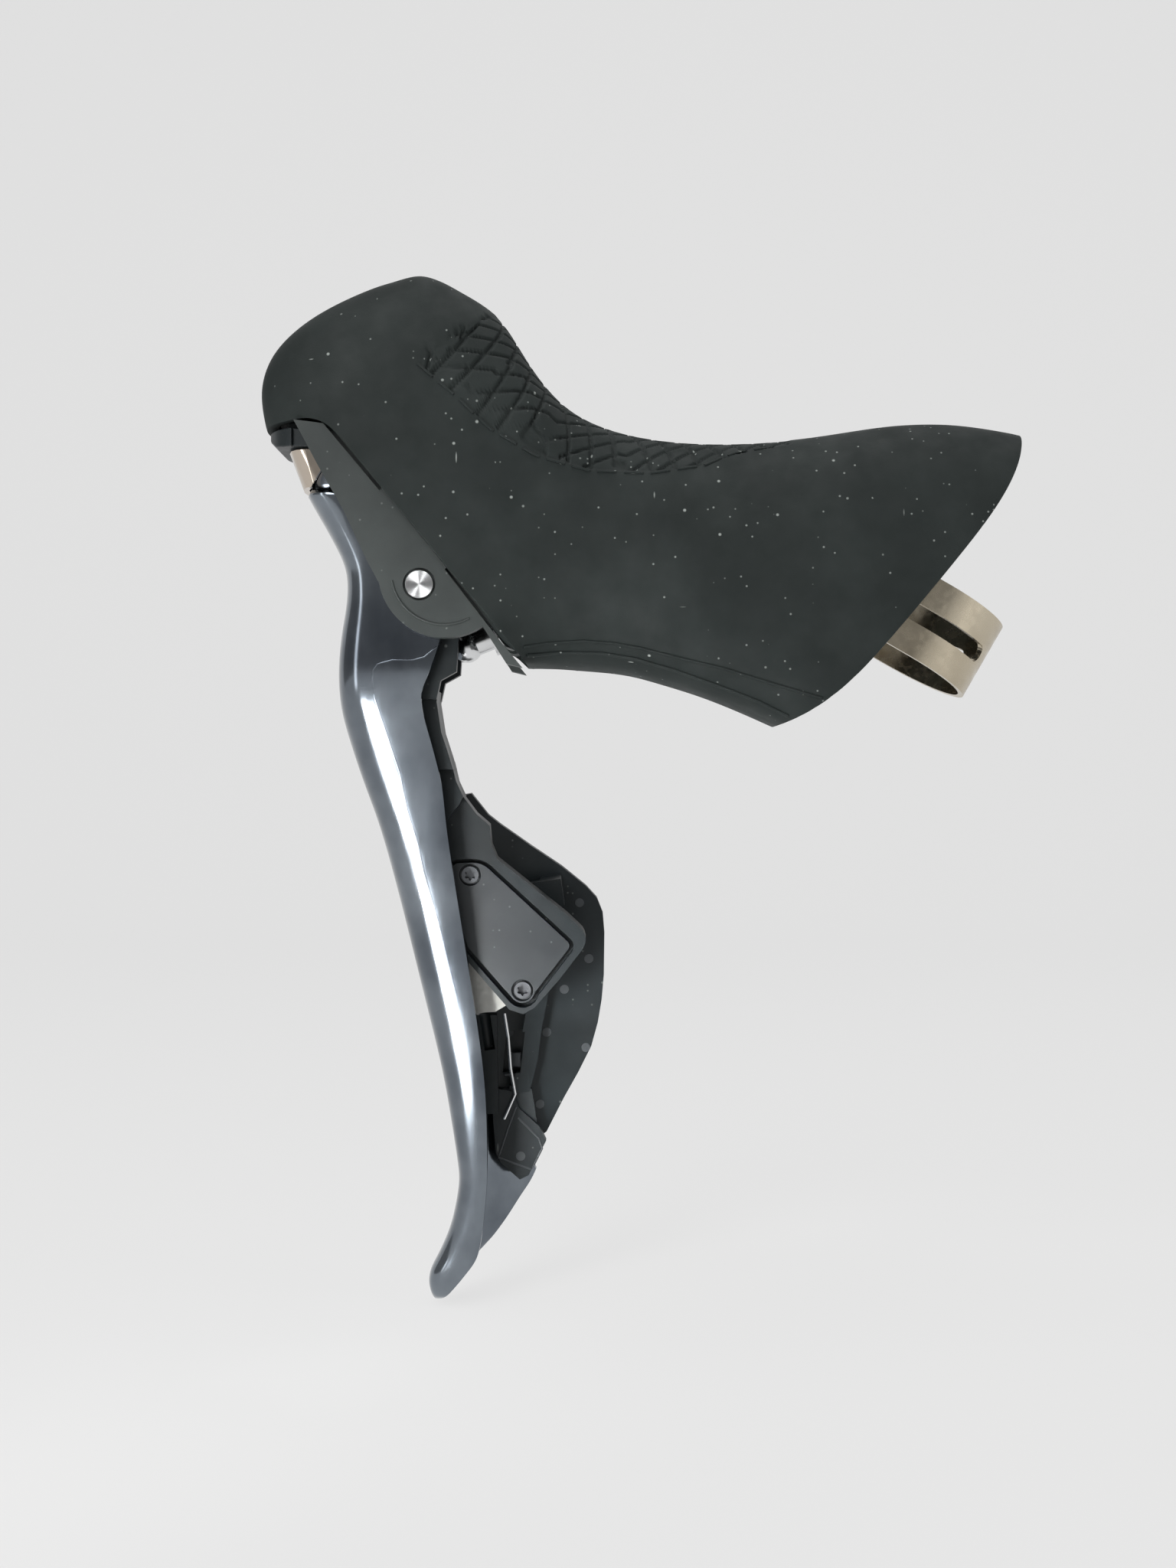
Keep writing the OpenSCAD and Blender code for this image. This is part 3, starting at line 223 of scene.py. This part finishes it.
def specks(s, scale, reach, kept, stretch=(1, 1, 1), shift=0.0):
    """Scattered specks: 1 inside each one, with a share of kept out of all the cells."""
    at = s.add("VectorMath", {0: s.place(stretch), 1: (shift, shift, shift)}, operation="ADD").outputs[0]
    cells = s.add("TexVoronoi", {"Vector": at, "Scale": scale, "Randomness": 1.0})
    inside = s.spread(cells.outputs["Distance"], 1.0, 0.0, reach * 0.5, reach)
    pick = s.add("SeparateColor", {"Color": cells.outputs["Color"]}).outputs["Red"]
    return s.math("MULTIPLY", inside, s.math("LESS_THAN", pick, kept))


# Each kind of fleck: cells to the metre, reach inside a cell, share of cells, stretch, paleness. The last two are
# fibres, across and along the hood.
FLECKS = ((1100, 0.24, 0.06, (1, 1, 1), 0.45), (520, 0.17, 0.05, (1, 1, 1), 0.6),
          (560, 0.12, 0.05, (0.2, 1, 1.5), 0.5), (560, 0.12, 0.05, (1.3, 1, 0.2), 0.45))
DUST_COLOUR = linear(120, 126, 124)
FLECK_COLOUR = linear(168, 174, 170)


def moulded(name, dark, light, rough, grain_mm=0.25, grain_depth=0.02, dust=0.0, flecks=0.0, shine=0.5):
    """Moulded plastic or rubber: mottled colour, fine grain, and pale dust that lies in spots."""
    s = Shader(name, Specular_IOR_Level=shine)
    colour = s.ramp(s.noise(90, 6), [(0.35, linear(*dark)), (0.68, linear(*light))])
    if dust:
        haze = s.spread(s.noise(45, 5), 0.0, dust, 0.45, 0.8)
        colour = s.mix(haze, colour, DUST_COLOUR)
    if flecks:
        for scale, reach, kept, stretch, pale in FLECKS:
            spot = specks(s, scale, reach, kept, stretch, scale / 1000)
            colour = s.mix(s.math("MULTIPLY", spot, pale * flecks), colour, FLECK_COLOUR)
    s.join("Base Color", colour)
    s.join("Roughness", s.spread(s.noise(220, 5), *rough, 0.3, 0.7))
    s.join("Normal", s.bump(s.noise(1 / (grain_mm * MM), 3), grain_depth * MM, 0.6))
    return s.material


def metal(name, dark, light, rough, stretch=(1, 1, 1), grain=900, depth=0.004):
    """Bare or plated metal: long or even scratches move its roughness and bump."""
    s = Shader(name, Metallic=1.0)
    s.join("Base Color", s.ramp(s.noise(60, 5), [(0.3, linear(*dark)), (0.7, linear(*light))]))
    s.join("Roughness", s.spread(s.noise(grain, 5, stretch), *rough, 0.3, 0.7))
    s.join("Normal", s.bump(s.noise(grain * 2, 3, stretch), depth * MM, 0.5))
    return s.material


def turned(name, colour, axis_x, axis_z, ring_mm=0.22):
    """Bright end face with fine turning rings round an axis that lies across the lever."""
    s = Shader(name, Metallic=1.0, Base_Color=linear(*colour), Roughness=0.2)
    at = s.add("SeparateXYZ", {"Vector": s.object_place()})
    x = s.math("SUBTRACT", at.outputs["X"], axis_x * MM)
    z = s.math("SUBTRACT", at.outputs["Z"], axis_z * MM)
    reach = s.math("SQRT", s.math("ADD", s.math("MULTIPLY", x, x), s.math("MULTIPLY", z, z)))
    rings = s.math("SINE", s.math("MULTIPLY", reach, 2 * math.pi / (ring_mm * MM)))
    s.join("Normal", s.bump(rings, 0.012 * MM))
    return s.material


# %% The finishes, one for each slot of the record
# Dark and light colour, roughness, grain and its depth in mm, dust, flecks, shine
MOULDED = {
    "hood_rubber": ((23, 29, 28), (29, 35, 34), (0.62, 0.78), 0.22, 0.03, 0.035, 1.0, 0.26),
    "grey_plastic": ((42, 47, 46), (52, 57, 56), (0.46, 0.6), 0.3, 0.03, 0.06, 0.4, 0.4),
    "black_plastic": ((13, 19, 21), (21, 28, 31), (0.36, 0.5), 0.25, 0.02, 0.04, 0.35, 0.32),
    "satin_plate": ((26, 30, 33), (35, 39, 42), (0.36, 0.46), 0.18, 0.012, 0.05, 0.3, 0.45),
    "mark_plastic": ((42, 46, 49), (56, 60, 63), (0.5, 0.62), 0.2, 0.01),
    "seal_rubber": ((24, 25, 26), (34, 35, 36), (0.6, 0.75)),
    "board_green": ((22, 66, 40), (32, 84, 52), (0.28, 0.4)),
}
# Dark and light colour, roughness, stretch of the scratches, scratches to the metre, their depth in mm
METALS = {
    "polished_blade": ((88, 94, 102), (134, 141, 148), (0.1, 0.2), (1, 1, 0.12), 260, 0.012),
    "warm_chrome": ((186, 174, 160), (206, 194, 180), (0.06, 0.14), (1, 1, 1), 500, 0.002),
    "stainless_band": ((176, 165, 144), (202, 192, 172), (0.16, 0.34), (1, 0.15, 1), 700, 0.004),
    "turned_steel": ((205, 206, 207), (226, 227, 228), (0.16, 0.28), (1, 1, 1), 900, 0.003),
    "dark_steel": ((82, 84, 87), (108, 110, 113), (0.28, 0.42), (1, 1, 1), 800, 0.004),
    "cast_metal": ((150, 150, 146), (178, 178, 174), (0.36, 0.52), (1, 1, 1), 1400, 0.012),
    "bare_aluminium": ((186, 188, 190), (206, 208, 210), (0.26, 0.38)),
    "brass_contact": ((200, 160, 86), (222, 184, 110), (0.22, 0.36)),
}
PIVOT_X, PIVOT_Z = -85.5, 6.0
finishes = {name: moulded(name, *values) for name, values in MOULDED.items()}
finishes |= {name: metal(name, *values) for name, values in METALS.items()}
finishes["turned_face"] = turned("turned_face", (190, 191, 192), PIVOT_X, PIVOT_Z)
for node, obj in nodes.items():
    for material_slot in obj.material_slots:
        material_slot.material = finishes[slot_of_node[node]]
print(len(finishes), "finishes")

# %% [markdown]
# ## The hood
# The hood is soft rubber pulled over the bracket. Its CAD form is a loft with flat facets, so a copy is joined into
# quads and subdivided. The grip on its saddle is a net of two families of grooves. A bump would keep the outline
# straight, so the saddle's faces are subdivided once more and the grooves are pressed in.

# %% The saddle's own coordinates
# Lines in the lever's middle plane, as x and z in mm
TOP_LINE = [(-104.5, 53.2), (-95.6, 57.7), (-86.2, 60.4), (-79.4, 57.7), (-72.4, 53.2), (-67.4, 45.2), (-60.6, 37.2),
            (-50.0, 32.8), (-35.6, 31.3), (-20.0, 32.2), (-6.0, 34.4)]
GRIP_EDGE = [(-85.9, 43.1), (-73.7, 32.2), (-65.9, 27.7), (-56.9, 25.1), (-46.7, 24.7), (-37.7, 26.0), (-32.5, 28.1),
             (-22.2, 30.4)]
GRIP_FRONT_SLOPE = 0.73
STEEP_SLANT, STEEP_PITCH = 0.33, 4.2
FLAT_SLANT, FLAT_PITCH = 0.85, 3.9
GROOVE_FLOOR, GROOVE_EDGE = 0.12, 0.42
GRIP_SUNK, GROOVE_SUNK = 0.12, 0.56


def along_line(line, x, z):
    """Length along a line to the foot of a point, and the point's distance from the line."""
    best, start = (1e9, 0.0), 0.0
    for (x0, z0), (x1, z1) in zip(line, line[1:]):
        dx, dz = x1 - x0, z1 - z0
        length = math.hypot(dx, dz)
        t = max(0.0, min(1.0, ((x - x0) * dx + (z - z0) * dz) / length ** 2))
        away = math.hypot(x - x0 - t * dx, z - z0 - t * dz)
        best = min(best, (away, start + t * length))
        start += length
    return best[1], best[0]


def height_on(line, x):
    """Height of a line at x."""
    for (x0, z0), (x1, z1) in zip(line, line[1:]):
        if x0 <= x <= x1:
            return z0 + (z1 - z0) * (x - x0) / (x1 - x0)
    return line[0][1] if x < line[0][0] else line[-1][1]


def smooth_step(x, low, high):
    """0 up to low, 1 from high on, and smooth between them."""
    t = max(0.0, min(1.0, (x - low) / (high - low)))
    return t * t * (3 - 2 * t)


def grip_mask(x, z):
    """1 inside the grip, falling to 0 over a third of a millimetre at its lower edge."""
    (front_x, front_z), (rear_x, _) = GRIP_EDGE[0], GRIP_EDGE[-1]
    above_front = z - front_z - (x - front_x) * GRIP_FRONT_SLOPE
    above_edge = z - height_on(GRIP_EDGE, x)
    return min(smooth_step(above_edge, -0.1, 0.25), smooth_step(-above_front, -0.4, 0.2), smooth_step(rear_x - x, 0, 1))


def groove_depth(x, y, z):
    """How far the net is pressed in at a point of the skin, in millimetres."""
    inside = grip_mask(x, z)
    if inside <= 0:
        return 0.0
    s, d = along_line(TOP_LINE, x, z)
    t = abs(y) + d - 0.3 * min(abs(y), d)
    steep = abs((s - STEEP_SLANT * t) / STEEP_PITCH % 1 - 0.5) * STEEP_PITCH
    flat = abs((s + FLAT_SLANT * t) / FLAT_PITCH % 1 - 0.5) * FLAT_PITCH
    fade = smooth_step(z - height_on(GRIP_EDGE, x), 1.0, 6.0) if x < -62 else 1.0
    steep_cut = 1 - smooth_step(steep, GROOVE_FLOOR, GROOVE_EDGE)
    flat_cut = 1 - smooth_step(flat, GROOVE_FLOOR, GROOVE_EDGE)
    cut = max(steep_cut, fade * flat_cut)
    return inside * (GRIP_SUNK + GROOVE_SUNK * cut)


print("top line", round(along_line(TOP_LINE, -6, 34.4)[0], 1), "mm long")


# %% Smooth copy of a lofted node
def subdivided(node, levels, sharp_deg=40, crease=0.9):
    """Mesh of a node after Catmull-Clark subdivision, its sharp edges held."""
    bm = merged(node)
    bmesh.ops.join_triangles(bm, faces=bm.faces, angle_face_threshold=math.radians(40),
                             angle_shape_threshold=math.radians(60))
    hold = bm.edges.layers.float.new("crease_edge")
    for e in bm.edges:
        if e.calc_face_angle(0) > math.radians(sharp_deg):
            e[hold] = crease
    mesh = bpy.data.meshes.new("draft")
    bm.to_mesh(mesh)
    bm.free()
    draft = bpy.data.objects.new("draft", mesh)
    bpy.context.scene.collection.objects.link(draft)
    smooth = draft.modifiers.new("smooth", "SUBSURF")
    smooth.levels = smooth.render_levels = levels
    graph = bpy.context.evaluated_depsgraph_get()
    bm = bmesh.new()
    bm.from_mesh(draft.evaluated_get(graph).to_mesh())
    bpy.data.objects.remove(draft)
    return bm


# %% Hood with its grip
SADDLE_FRONT, SADDLE_REAR = -88, -20
MIDDLE_WIDTH = 9


def is_outer(normal, y):
    """Whether a spot of the hood lies on its outer skin, judged by its normal."""
    return normal.y * y > 0 or (abs(y) < MIDDLE_WIDTH * MM and normal.z > 0.2)


def in_saddle(f):
    c = f.calc_center_median()
    x, z = c.x / MM, c.z / MM
    return SADDLE_FRONT < x < SADDLE_REAR and grip_mask(x, z - 1.2 + 1.8) > 0 and is_outer(f.normal, c.y)


bm = subdivided("hood_cover", 2)
saddle = [f for f in bm.faces if in_saddle(f)]
bmesh.ops.subdivide_edges(bm, edges=list({e for f in saddle for e in f.edges}), cuts=3, use_grid_fill=True)
bm.normal_update()
moves = [(v, v.normal * groove_depth(v.co.x / MM, v.co.y / MM, v.co.z / MM) * MM) for v in bm.verts
         if SADDLE_FRONT * MM < v.co.x < SADDLE_REAR * MM and is_outer(v.normal, v.co.y)]
for v, step in moves:
    v.co -= step
soften(bm, 45)
hood = add_piece("hood", bm, "bracket", finishes["hood_rubber"], ["hood_cover"])
print("hood", len(hood.data.polygons), "faces,", len(saddle), "in the grip")

# %% [markdown]
# ## Lines moulded on the skin
# The hood carries a bead along the lower edge of its grip, broken where the grooves start, and two long lines along its
# bottom. Each line is a thin bead that lies half sunk in the skin. Its places are read from the photograph and found on
# the skin by a ray from the camera. A mirrored copy serves the outer side, which the photograph doesn't show.

# %% Beads
def skin_of(piece):
    return BVHTree.FromObject(piece, bpy.context.evaluated_depsgraph_get())


def hits(tree, pixels, step=7.0, rise_mm=0.0):
    """Points on a skin along a line of photo pixels, raised along the skin's normal."""
    places = []
    for (x0, y0), (x1, y1) in zip(pixels, pixels[1:]):
        count = max(1, round(math.hypot(x1 - x0, y1 - y0) / step))
        places += [(x0 + (x1 - x0) * i / count, y0 + (y1 - y0) * i / count) for i in range(count)]
    found = []
    for px, py in places + [pixels[-1]]:
        at, normal, _, _ = tree.ray_cast(CAMERA_AT, photo_ray(px, py))
        if at:
            found.append(at + normal * rise_mm * MM)
    return found


def bead(bm, points, radius_mm, segments=8):
    """A thin round bead through points, closed at both ends."""
    loops = []
    for i, at in enumerate(points):
        ahead = points[min(i + 1, len(points) - 1)] - points[max(i - 1, 0)]
        turn = ahead.to_track_quat("Z", "Y").to_matrix().to_4x4()
        turn.translation = at
        made = bmesh.ops.create_circle(bm, segments=segments, radius=radius_mm * MM, matrix=turn)
        loops.append(list({e for v in made["verts"] for e in v.link_edges}))
    for a, b in zip(loops, loops[1:]):
        bmesh.ops.bridge_loops(bm, edges=a + b)
    for end in (loops[0], loops[-1]):
        bmesh.ops.edgeloop_fill(bm, edges=end)


def mirrored(bm):
    """Adds the outer side's copy, across the lever's middle plane."""
    bmesh.ops.mirror(bm, geom=bm.verts[:] + bm.edges[:] + bm.faces[:], axis="Y", merge_dist=0)


def finished(bm):
    """Merges, turns the faces outward and shades smoothly."""
    bmesh.ops.remove_doubles(bm, verts=bm.verts, dist=1e-7)
    bmesh.ops.recalc_face_normals(bm, faces=bm.faces)
    soften(bm, 50)
    return bm


# %% Lines on the hood
GRIP_LINE = [(545, 475), (600, 522), (640, 560), (700, 595), (770, 615), (850, 618), (920, 608), (960, 592),
             (1040, 580)]
BOTTOM_LINES = [[(684, 845), (716, 840), (762, 837), (802, 840), (836, 846), (891, 860), (946, 873), (1007, 892),
                 (1074, 912)],
                [(688, 856), (732, 852), (787, 853), (830, 860), (885, 876), (946, 898), (992, 916), (1030, 935)]]
DASH_POINTS, DASH_PITCH = 6, 7
LINE_RISE = 0.06
hood_skin = skin_of(hood)
bm = bmesh.new()
points = hits(hood_skin, GRIP_LINE, 5.0, LINE_RISE)
for start in range(0, len(points) - DASH_POINTS + 1, DASH_PITCH):
    bead(bm, points[start:start + DASH_POINTS], 0.24)
for line, radius in zip(BOTTOM_LINES, (0.26, 0.34)):
    bead(bm, hits(hood_skin, line, 9.0, LINE_RISE), radius)
mirrored(bm)
lines = add_piece("hood_lines", finished(bm), "bracket", finishes["hood_rubber"])
print("hood lines", len(lines.data.polygons), "faces")

# %% [markdown]
# ## The blade
# The blade looks like a light alloy forging, polished and anodised blue grey. Its shape is read from long reflections,
# and a facet would break them, so its copy is subdivided too.

# %% Blade
bm = subdivided("brake_lever", 2, 38, 0.75)
soften(bm, 50)
blade = add_piece("blade", bm, "lever", finishes["polished_blade"], ["brake_lever"])
print("blade", len(blade.data.polygons), "faces")

# %% [markdown]
# The blade's inner side has a shallow panel with a bright edge. A sunk panel would be truer. A thin bead along its edge
# catches the light in the same place and leaves the CAD form as it is.

# %% Edge of the blade's recessed panel
CREASE = [(579, 837), (554, 858), (539, 862), (512, 862), (493, 867), (487, 875), (486, 886), (489, 911), (502, 950),
          (522, 1010), (532, 1058), (545, 1099), (555, 1142), (573, 1206), (596, 1300)]
bm = bmesh.new()
bead(bm, hits(skin_of(blade), CREASE, 6.0, -0.07), 0.16)
crease = add_piece("blade_crease", finished(bm), "lever", finishes["polished_blade"])
print("crease", len(crease.data.polygons), "faces")

# %% [markdown]
# ## Moulded and turned pieces
# These keep their CAD form. A small round on each edge catches the light, as a mould or a cutter leaves it.

# %% Rounded edges
ROUNDS_MM = {"bracket_body": 0.2, "nose_cover": 0.35, "clamp_band": 0.12, "clamp_nut": 0.15, "trim_plate": 0.2,
             "lever_axle": 0.15, "switch_housing": 0.25, "switch_frame": 0.15, "switch_cover": 0.18,
             "front_paddle": 0.25, "rear_paddle": 0.25}
pieces = {node: dressed(node, width) for node, width in ROUNDS_MM.items()}
pieces["lever_axle"].data.materials[0] = finishes["turned_face"]
for piece in pieces.values():
    print(piece.name, len(piece.data.polygons), "faces")

# %% [markdown]
# ## Small moulded marks
# The cheek has a raised arc round the pivot. The paddles show the round marks of ejector pins on their inner faces, a
# rim round the lower tab and a pocket with a small block behind it. The two screws of the cover have star sockets.

# %% Arc on the cheeks
ARC_CENTRE = Vector((-81.3, 0, 8.1))
ARC_RADIUS = 8.9
CHEEK_SPOT = Vector((-0.088, -0.0129, 0.001))
cheek_verts = pieces["bracket_body"].data.vertices
cheek_y = min(v.co.y for v in cheek_verts if (v.co - CHEEK_SPOT).length < 0.008)
arc = []
for degrees in range(190, 304, 6):
    a = math.radians(degrees)
    at = (ARC_CENTRE + ARC_RADIUS * Vector((math.cos(a), 0, math.sin(a)))) * MM
    arc.append(Vector((at.x, cheek_y - 0.04 * MM, at.z)))
bm = bmesh.new()
bead(bm, arc, 0.2)
mirrored(bm)
add_piece("cheek_arcs", finished(bm), "bracket", finishes["grey_plastic"])
print("arc of", len(arc), "points on each cheek")

# %% Ejector marks and tab rim on the paddles
TAB_RIM = [(677, 1460), (704, 1487), (708, 1500), (686, 1544), (676, 1546), (653, 1523), (651, 1512), (663, 1475),
           (674, 1446)]
MARKS = {"rear_paddle": [(757, 1179), (769, 1252), (737, 1292), (714, 1348), (765, 1368), (705, 1442)],
         "front_paddle": [(665, 1348), (662, 1423), (680, 1510)]}
for node, places in MARKS.items():
    skin = skin_of(pieces[node])
    bm = bmesh.new()
    for px, py in places:
        at, normal, _, _ = skin.ray_cast(CAMERA_AT, photo_ray(px, py))
        if at:
            turn = normal.to_track_quat("Z", "Y").to_matrix().to_4x4()
            turn.translation = at + normal * 0.02 * MM
            bmesh.ops.create_cone(bm, cap_ends=True, segments=24, radius1=0.85 * MM, radius2=0.8 * MM, depth=0.12 * MM,
                                  matrix=turn)
    if node == "front_paddle":
        bead(bm, hits(skin, TAB_RIM, 6.0, -0.05), 0.2)
    marks = add_piece(node + "_marks", finished(bm), node, finishes["mark_plastic"])
    print(marks.name, len(marks.data.polygons), "faces")

# %% Block in the window of the front paddle
BLOCKS = (((-70.3, 15.2, -77.6), (1.9, 1.0, 2.6)), ((-70.9, 14.6, -80.3), (3.0, 0.6, 0.5)))
bm = bmesh.new()
for centre, size in BLOCKS:
    made = bmesh.ops.create_cube(bm, size=MM)["verts"]
    bmesh.ops.scale(bm, verts=made, vec=size)
    bmesh.ops.translate(bm, verts=made, vec=Vector(centre) * MM)
bmesh.ops.bevel(bm, geom=bm.edges[:], offset=0.15 * MM, affect="EDGES", segments=2, profile=0.5, material=-1)
add_piece("window_block", finished(bm), "front_paddle", finishes["mark_plastic"])
print(len(BLOCKS), "blocks in the window")

# %% Star sockets of the cover's screws
LEAN = math.radians(4.7)
SCREWS = ((-77.8, -43.5), (-68.7, -63.9))
HEAD_RADIUS, STAR_RADIUS = 1.5, 1.0
HEAD_DEPTH, STAR_DEPTH = 1.6, 1.3
INWARD = Vector((0, math.cos(LEAN), math.sin(LEAN)))


def at_switch(x, y, z, pivot_z=-54):
    """A place in the switch unit's own frame, which leans outward with the blade."""
    dz = z - pivot_z
    return Vector((x, y * math.cos(LEAN) - dz * math.sin(LEAN),
                   pivot_z + y * math.sin(LEAN) + dz * math.cos(LEAN))) * MM


def edges_between(verts):
    """The edges that join these vertices to each other."""
    return list({e for v in verts for e in v.link_edges if e.other_vert(v) in verts})


def sink(bm, ring, depth_mm):
    """Pulls a ring of edges inward to a wall, and closes the wall's far end."""
    made = bmesh.ops.extrude_edge_only(bm, edges=ring)["geom"]
    verts = [v for v in made if isinstance(v, bmesh.types.BMVert)]
    bmesh.ops.translate(bm, verts=verts, vec=INWARD * depth_mm * MM)
    bmesh.ops.edgeloop_fill(bm, edges=[e for e in made if isinstance(e, bmesh.types.BMEdge) and len(e.link_faces) == 1])


bm = bmesh.new()
for x, z in SCREWS:
    turn = (-INWARD).to_track_quat("Z", "Y").to_matrix().to_4x4()
    turn.translation = at_switch(x, 1.8, z)
    rim = bmesh.ops.create_circle(bm, segments=48, radius=HEAD_RADIUS * MM, matrix=turn)["verts"]
    star = bmesh.ops.create_circle(bm, segments=48, radius=STAR_RADIUS * MM, matrix=turn)["verts"]
    for v in star:
        out = v.co - turn.translation
        v.co = turn.translation + out * (0.84 + 0.16 * math.cos(6 * math.atan2(out.x, out.z)))
    rim_edges, star_edges = edges_between(rim), edges_between(star)
    bmesh.ops.bridge_loops(bm, edges=rim_edges + star_edges)
    sink(bm, rim_edges, HEAD_DEPTH)
    sink(bm, star_edges, STAR_DEPTH)
add_piece("star_screws", finished(bm), "lever", finishes["dark_steel"], ["cover_screws"])
print(len(SCREWS), "star screws")

# %% [markdown]
# ## Floor and light
# A pale sweep that rises well behind the lever gives the even background, and leaves room for a camera between them.
# What the camera and shiny surfaces see of it is lifted towards the paper's own tone. An eighth of its shade is kept,
# so that the lever still throws a soft shadow.

# %% Floor and backdrop
SWEEP_FRONT, SWEEP_REAR, SWEEP_HALF, SWEEP_HEIGHT, SWEEP_BEND = -1.6, 1.1, 2.0, 2.6, 0.3
PAPER_GLOW = 0.88
floor_z = cad_box[0].z - 1.0 * MM
bm = bmesh.new()
edge = bm.edges.new([bm.verts.new((x, SWEEP_FRONT, floor_z)) for x in (-SWEEP_HALF, SWEEP_HALF)])
for step in ((0, SWEEP_REAR - SWEEP_FRONT, 0), (0, 0, SWEEP_HEIGHT)):
    made = bmesh.ops.extrude_edge_only(bm, edges=[edge])["geom"]
    bmesh.ops.translate(bm, verts=[v for v in made if isinstance(v, bmesh.types.BMVert)], vec=step)
    edge = next(e for e in made if isinstance(e, bmesh.types.BMEdge) and all(v in made for v in e.verts))
bend = [e for e in bm.edges if all(abs(v.co.y - SWEEP_REAR) < 1e-6 and v.co.z < 0 for v in e.verts)]
bmesh.ops.bevel(bm, geom=bend, offset=SWEEP_BEND, affect="EDGES", segments=12, profile=0.5, material=-1)
for f in bm.faces:
    f.smooth = True
mesh = bpy.data.meshes.new("sweep")
bm.to_mesh(mesh)
bm.free()
sweep = bpy.data.objects.new("sweep", mesh)
bpy.context.scene.collection.objects.link(sweep)

paper = bpy.data.materials.new("paper")
paper.use_nodes = True
tree = paper.node_tree
tree.nodes.clear()
out, shade, glow, blend, path, seen, share = (tree.nodes.new("ShaderNode" + kind) for kind in (
    "OutputMaterial", "BsdfDiffuse", "Emission", "MixShader", "LightPath", "Math", "Math"))
seen.operation, share.operation = "MAXIMUM", "MULTIPLY"
share.inputs[1].default_value = PAPER_GLOW
shade.inputs["Color"].default_value = linear(231, 231, 230)
glow.inputs["Color"].default_value = linear(230, 230, 230)
for source, target in ((path.outputs["Is Camera Ray"], seen.inputs[0]), (path.outputs["Is Glossy Ray"], seen.inputs[1]),
                       (seen.outputs[0], share.inputs[0]), (share.outputs[0], blend.inputs[0]),
                       (shade.outputs[0], blend.inputs[1]), (glow.outputs[0], blend.inputs[2]),
                       (blend.outputs[0], out.inputs[0])):
    tree.links.new(source, target)
mesh.materials.append(paper)
print("sweep", len(mesh.polygons), "faces")

# %% [markdown]
# A large lamp from the upper left and one from above shape the hood. A tall strip on the left and a lamp on the right
# light its edges. Two small lamps near the floor give the blade its long bright band, because they stand where the
# blade mirrors them to the camera.

# %% Lamps and world
MIDDLE = (-0.06, 0.0, -0.03)
BLADE_MIDDLE, BLADE_TIP = (-0.09, 0.0, -0.062), (-0.065, 0.023, -0.07)
# Place, aim, size, watts, spread in degrees
LAMPS = {
    "key": ((-0.36, -0.62, 0.46), MIDDLE, (0.3, 0.5), 3.4, 180),
    "top": ((0.0, -0.08, 0.75), MIDDLE, (0.7, 0.4), 3.0, 180),
    "strip": ((-0.62, -0.34, -0.05), MIDDLE, (0.1, 0.9), 1.0, 180),
    "low": ((-0.172, -0.132, -0.088), BLADE_MIDDLE, (0.075, 0.055), 0.1, 80),
    "tip": ((-0.118, -0.056, -0.1), BLADE_TIP, (0.03, 0.038), 0.03, 80),
    "side": ((0.62, -0.3, 0.05), MIDDLE, (0.3, 0.7), 1.4, 180),
}
for name, (at, aim, size, watts, spread) in LAMPS.items():
    data = bpy.data.lights.new(name, "AREA")
    data.spread = math.radians(spread)
    data.shape, data.size, data.size_y, data.energy = "RECTANGLE", size[0], size[1], watts
    lamp = bpy.data.objects.new(name, data)
    lamp.location = at
    lamp.rotation_euler = (Vector(aim) - Vector(at)).to_track_quat("-Z", "Y").to_euler()
    bpy.context.scene.collection.objects.link(lamp)
world = bpy.data.worlds.new("studio")
bpy.context.scene.world = world
world.use_nodes = True
background = world.node_tree.nodes["Background"]
background.inputs["Color"].default_value = linear(231, 231, 231)
background.inputs["Strength"].default_value = 0.36
print(len(LAMPS), "softboxes")
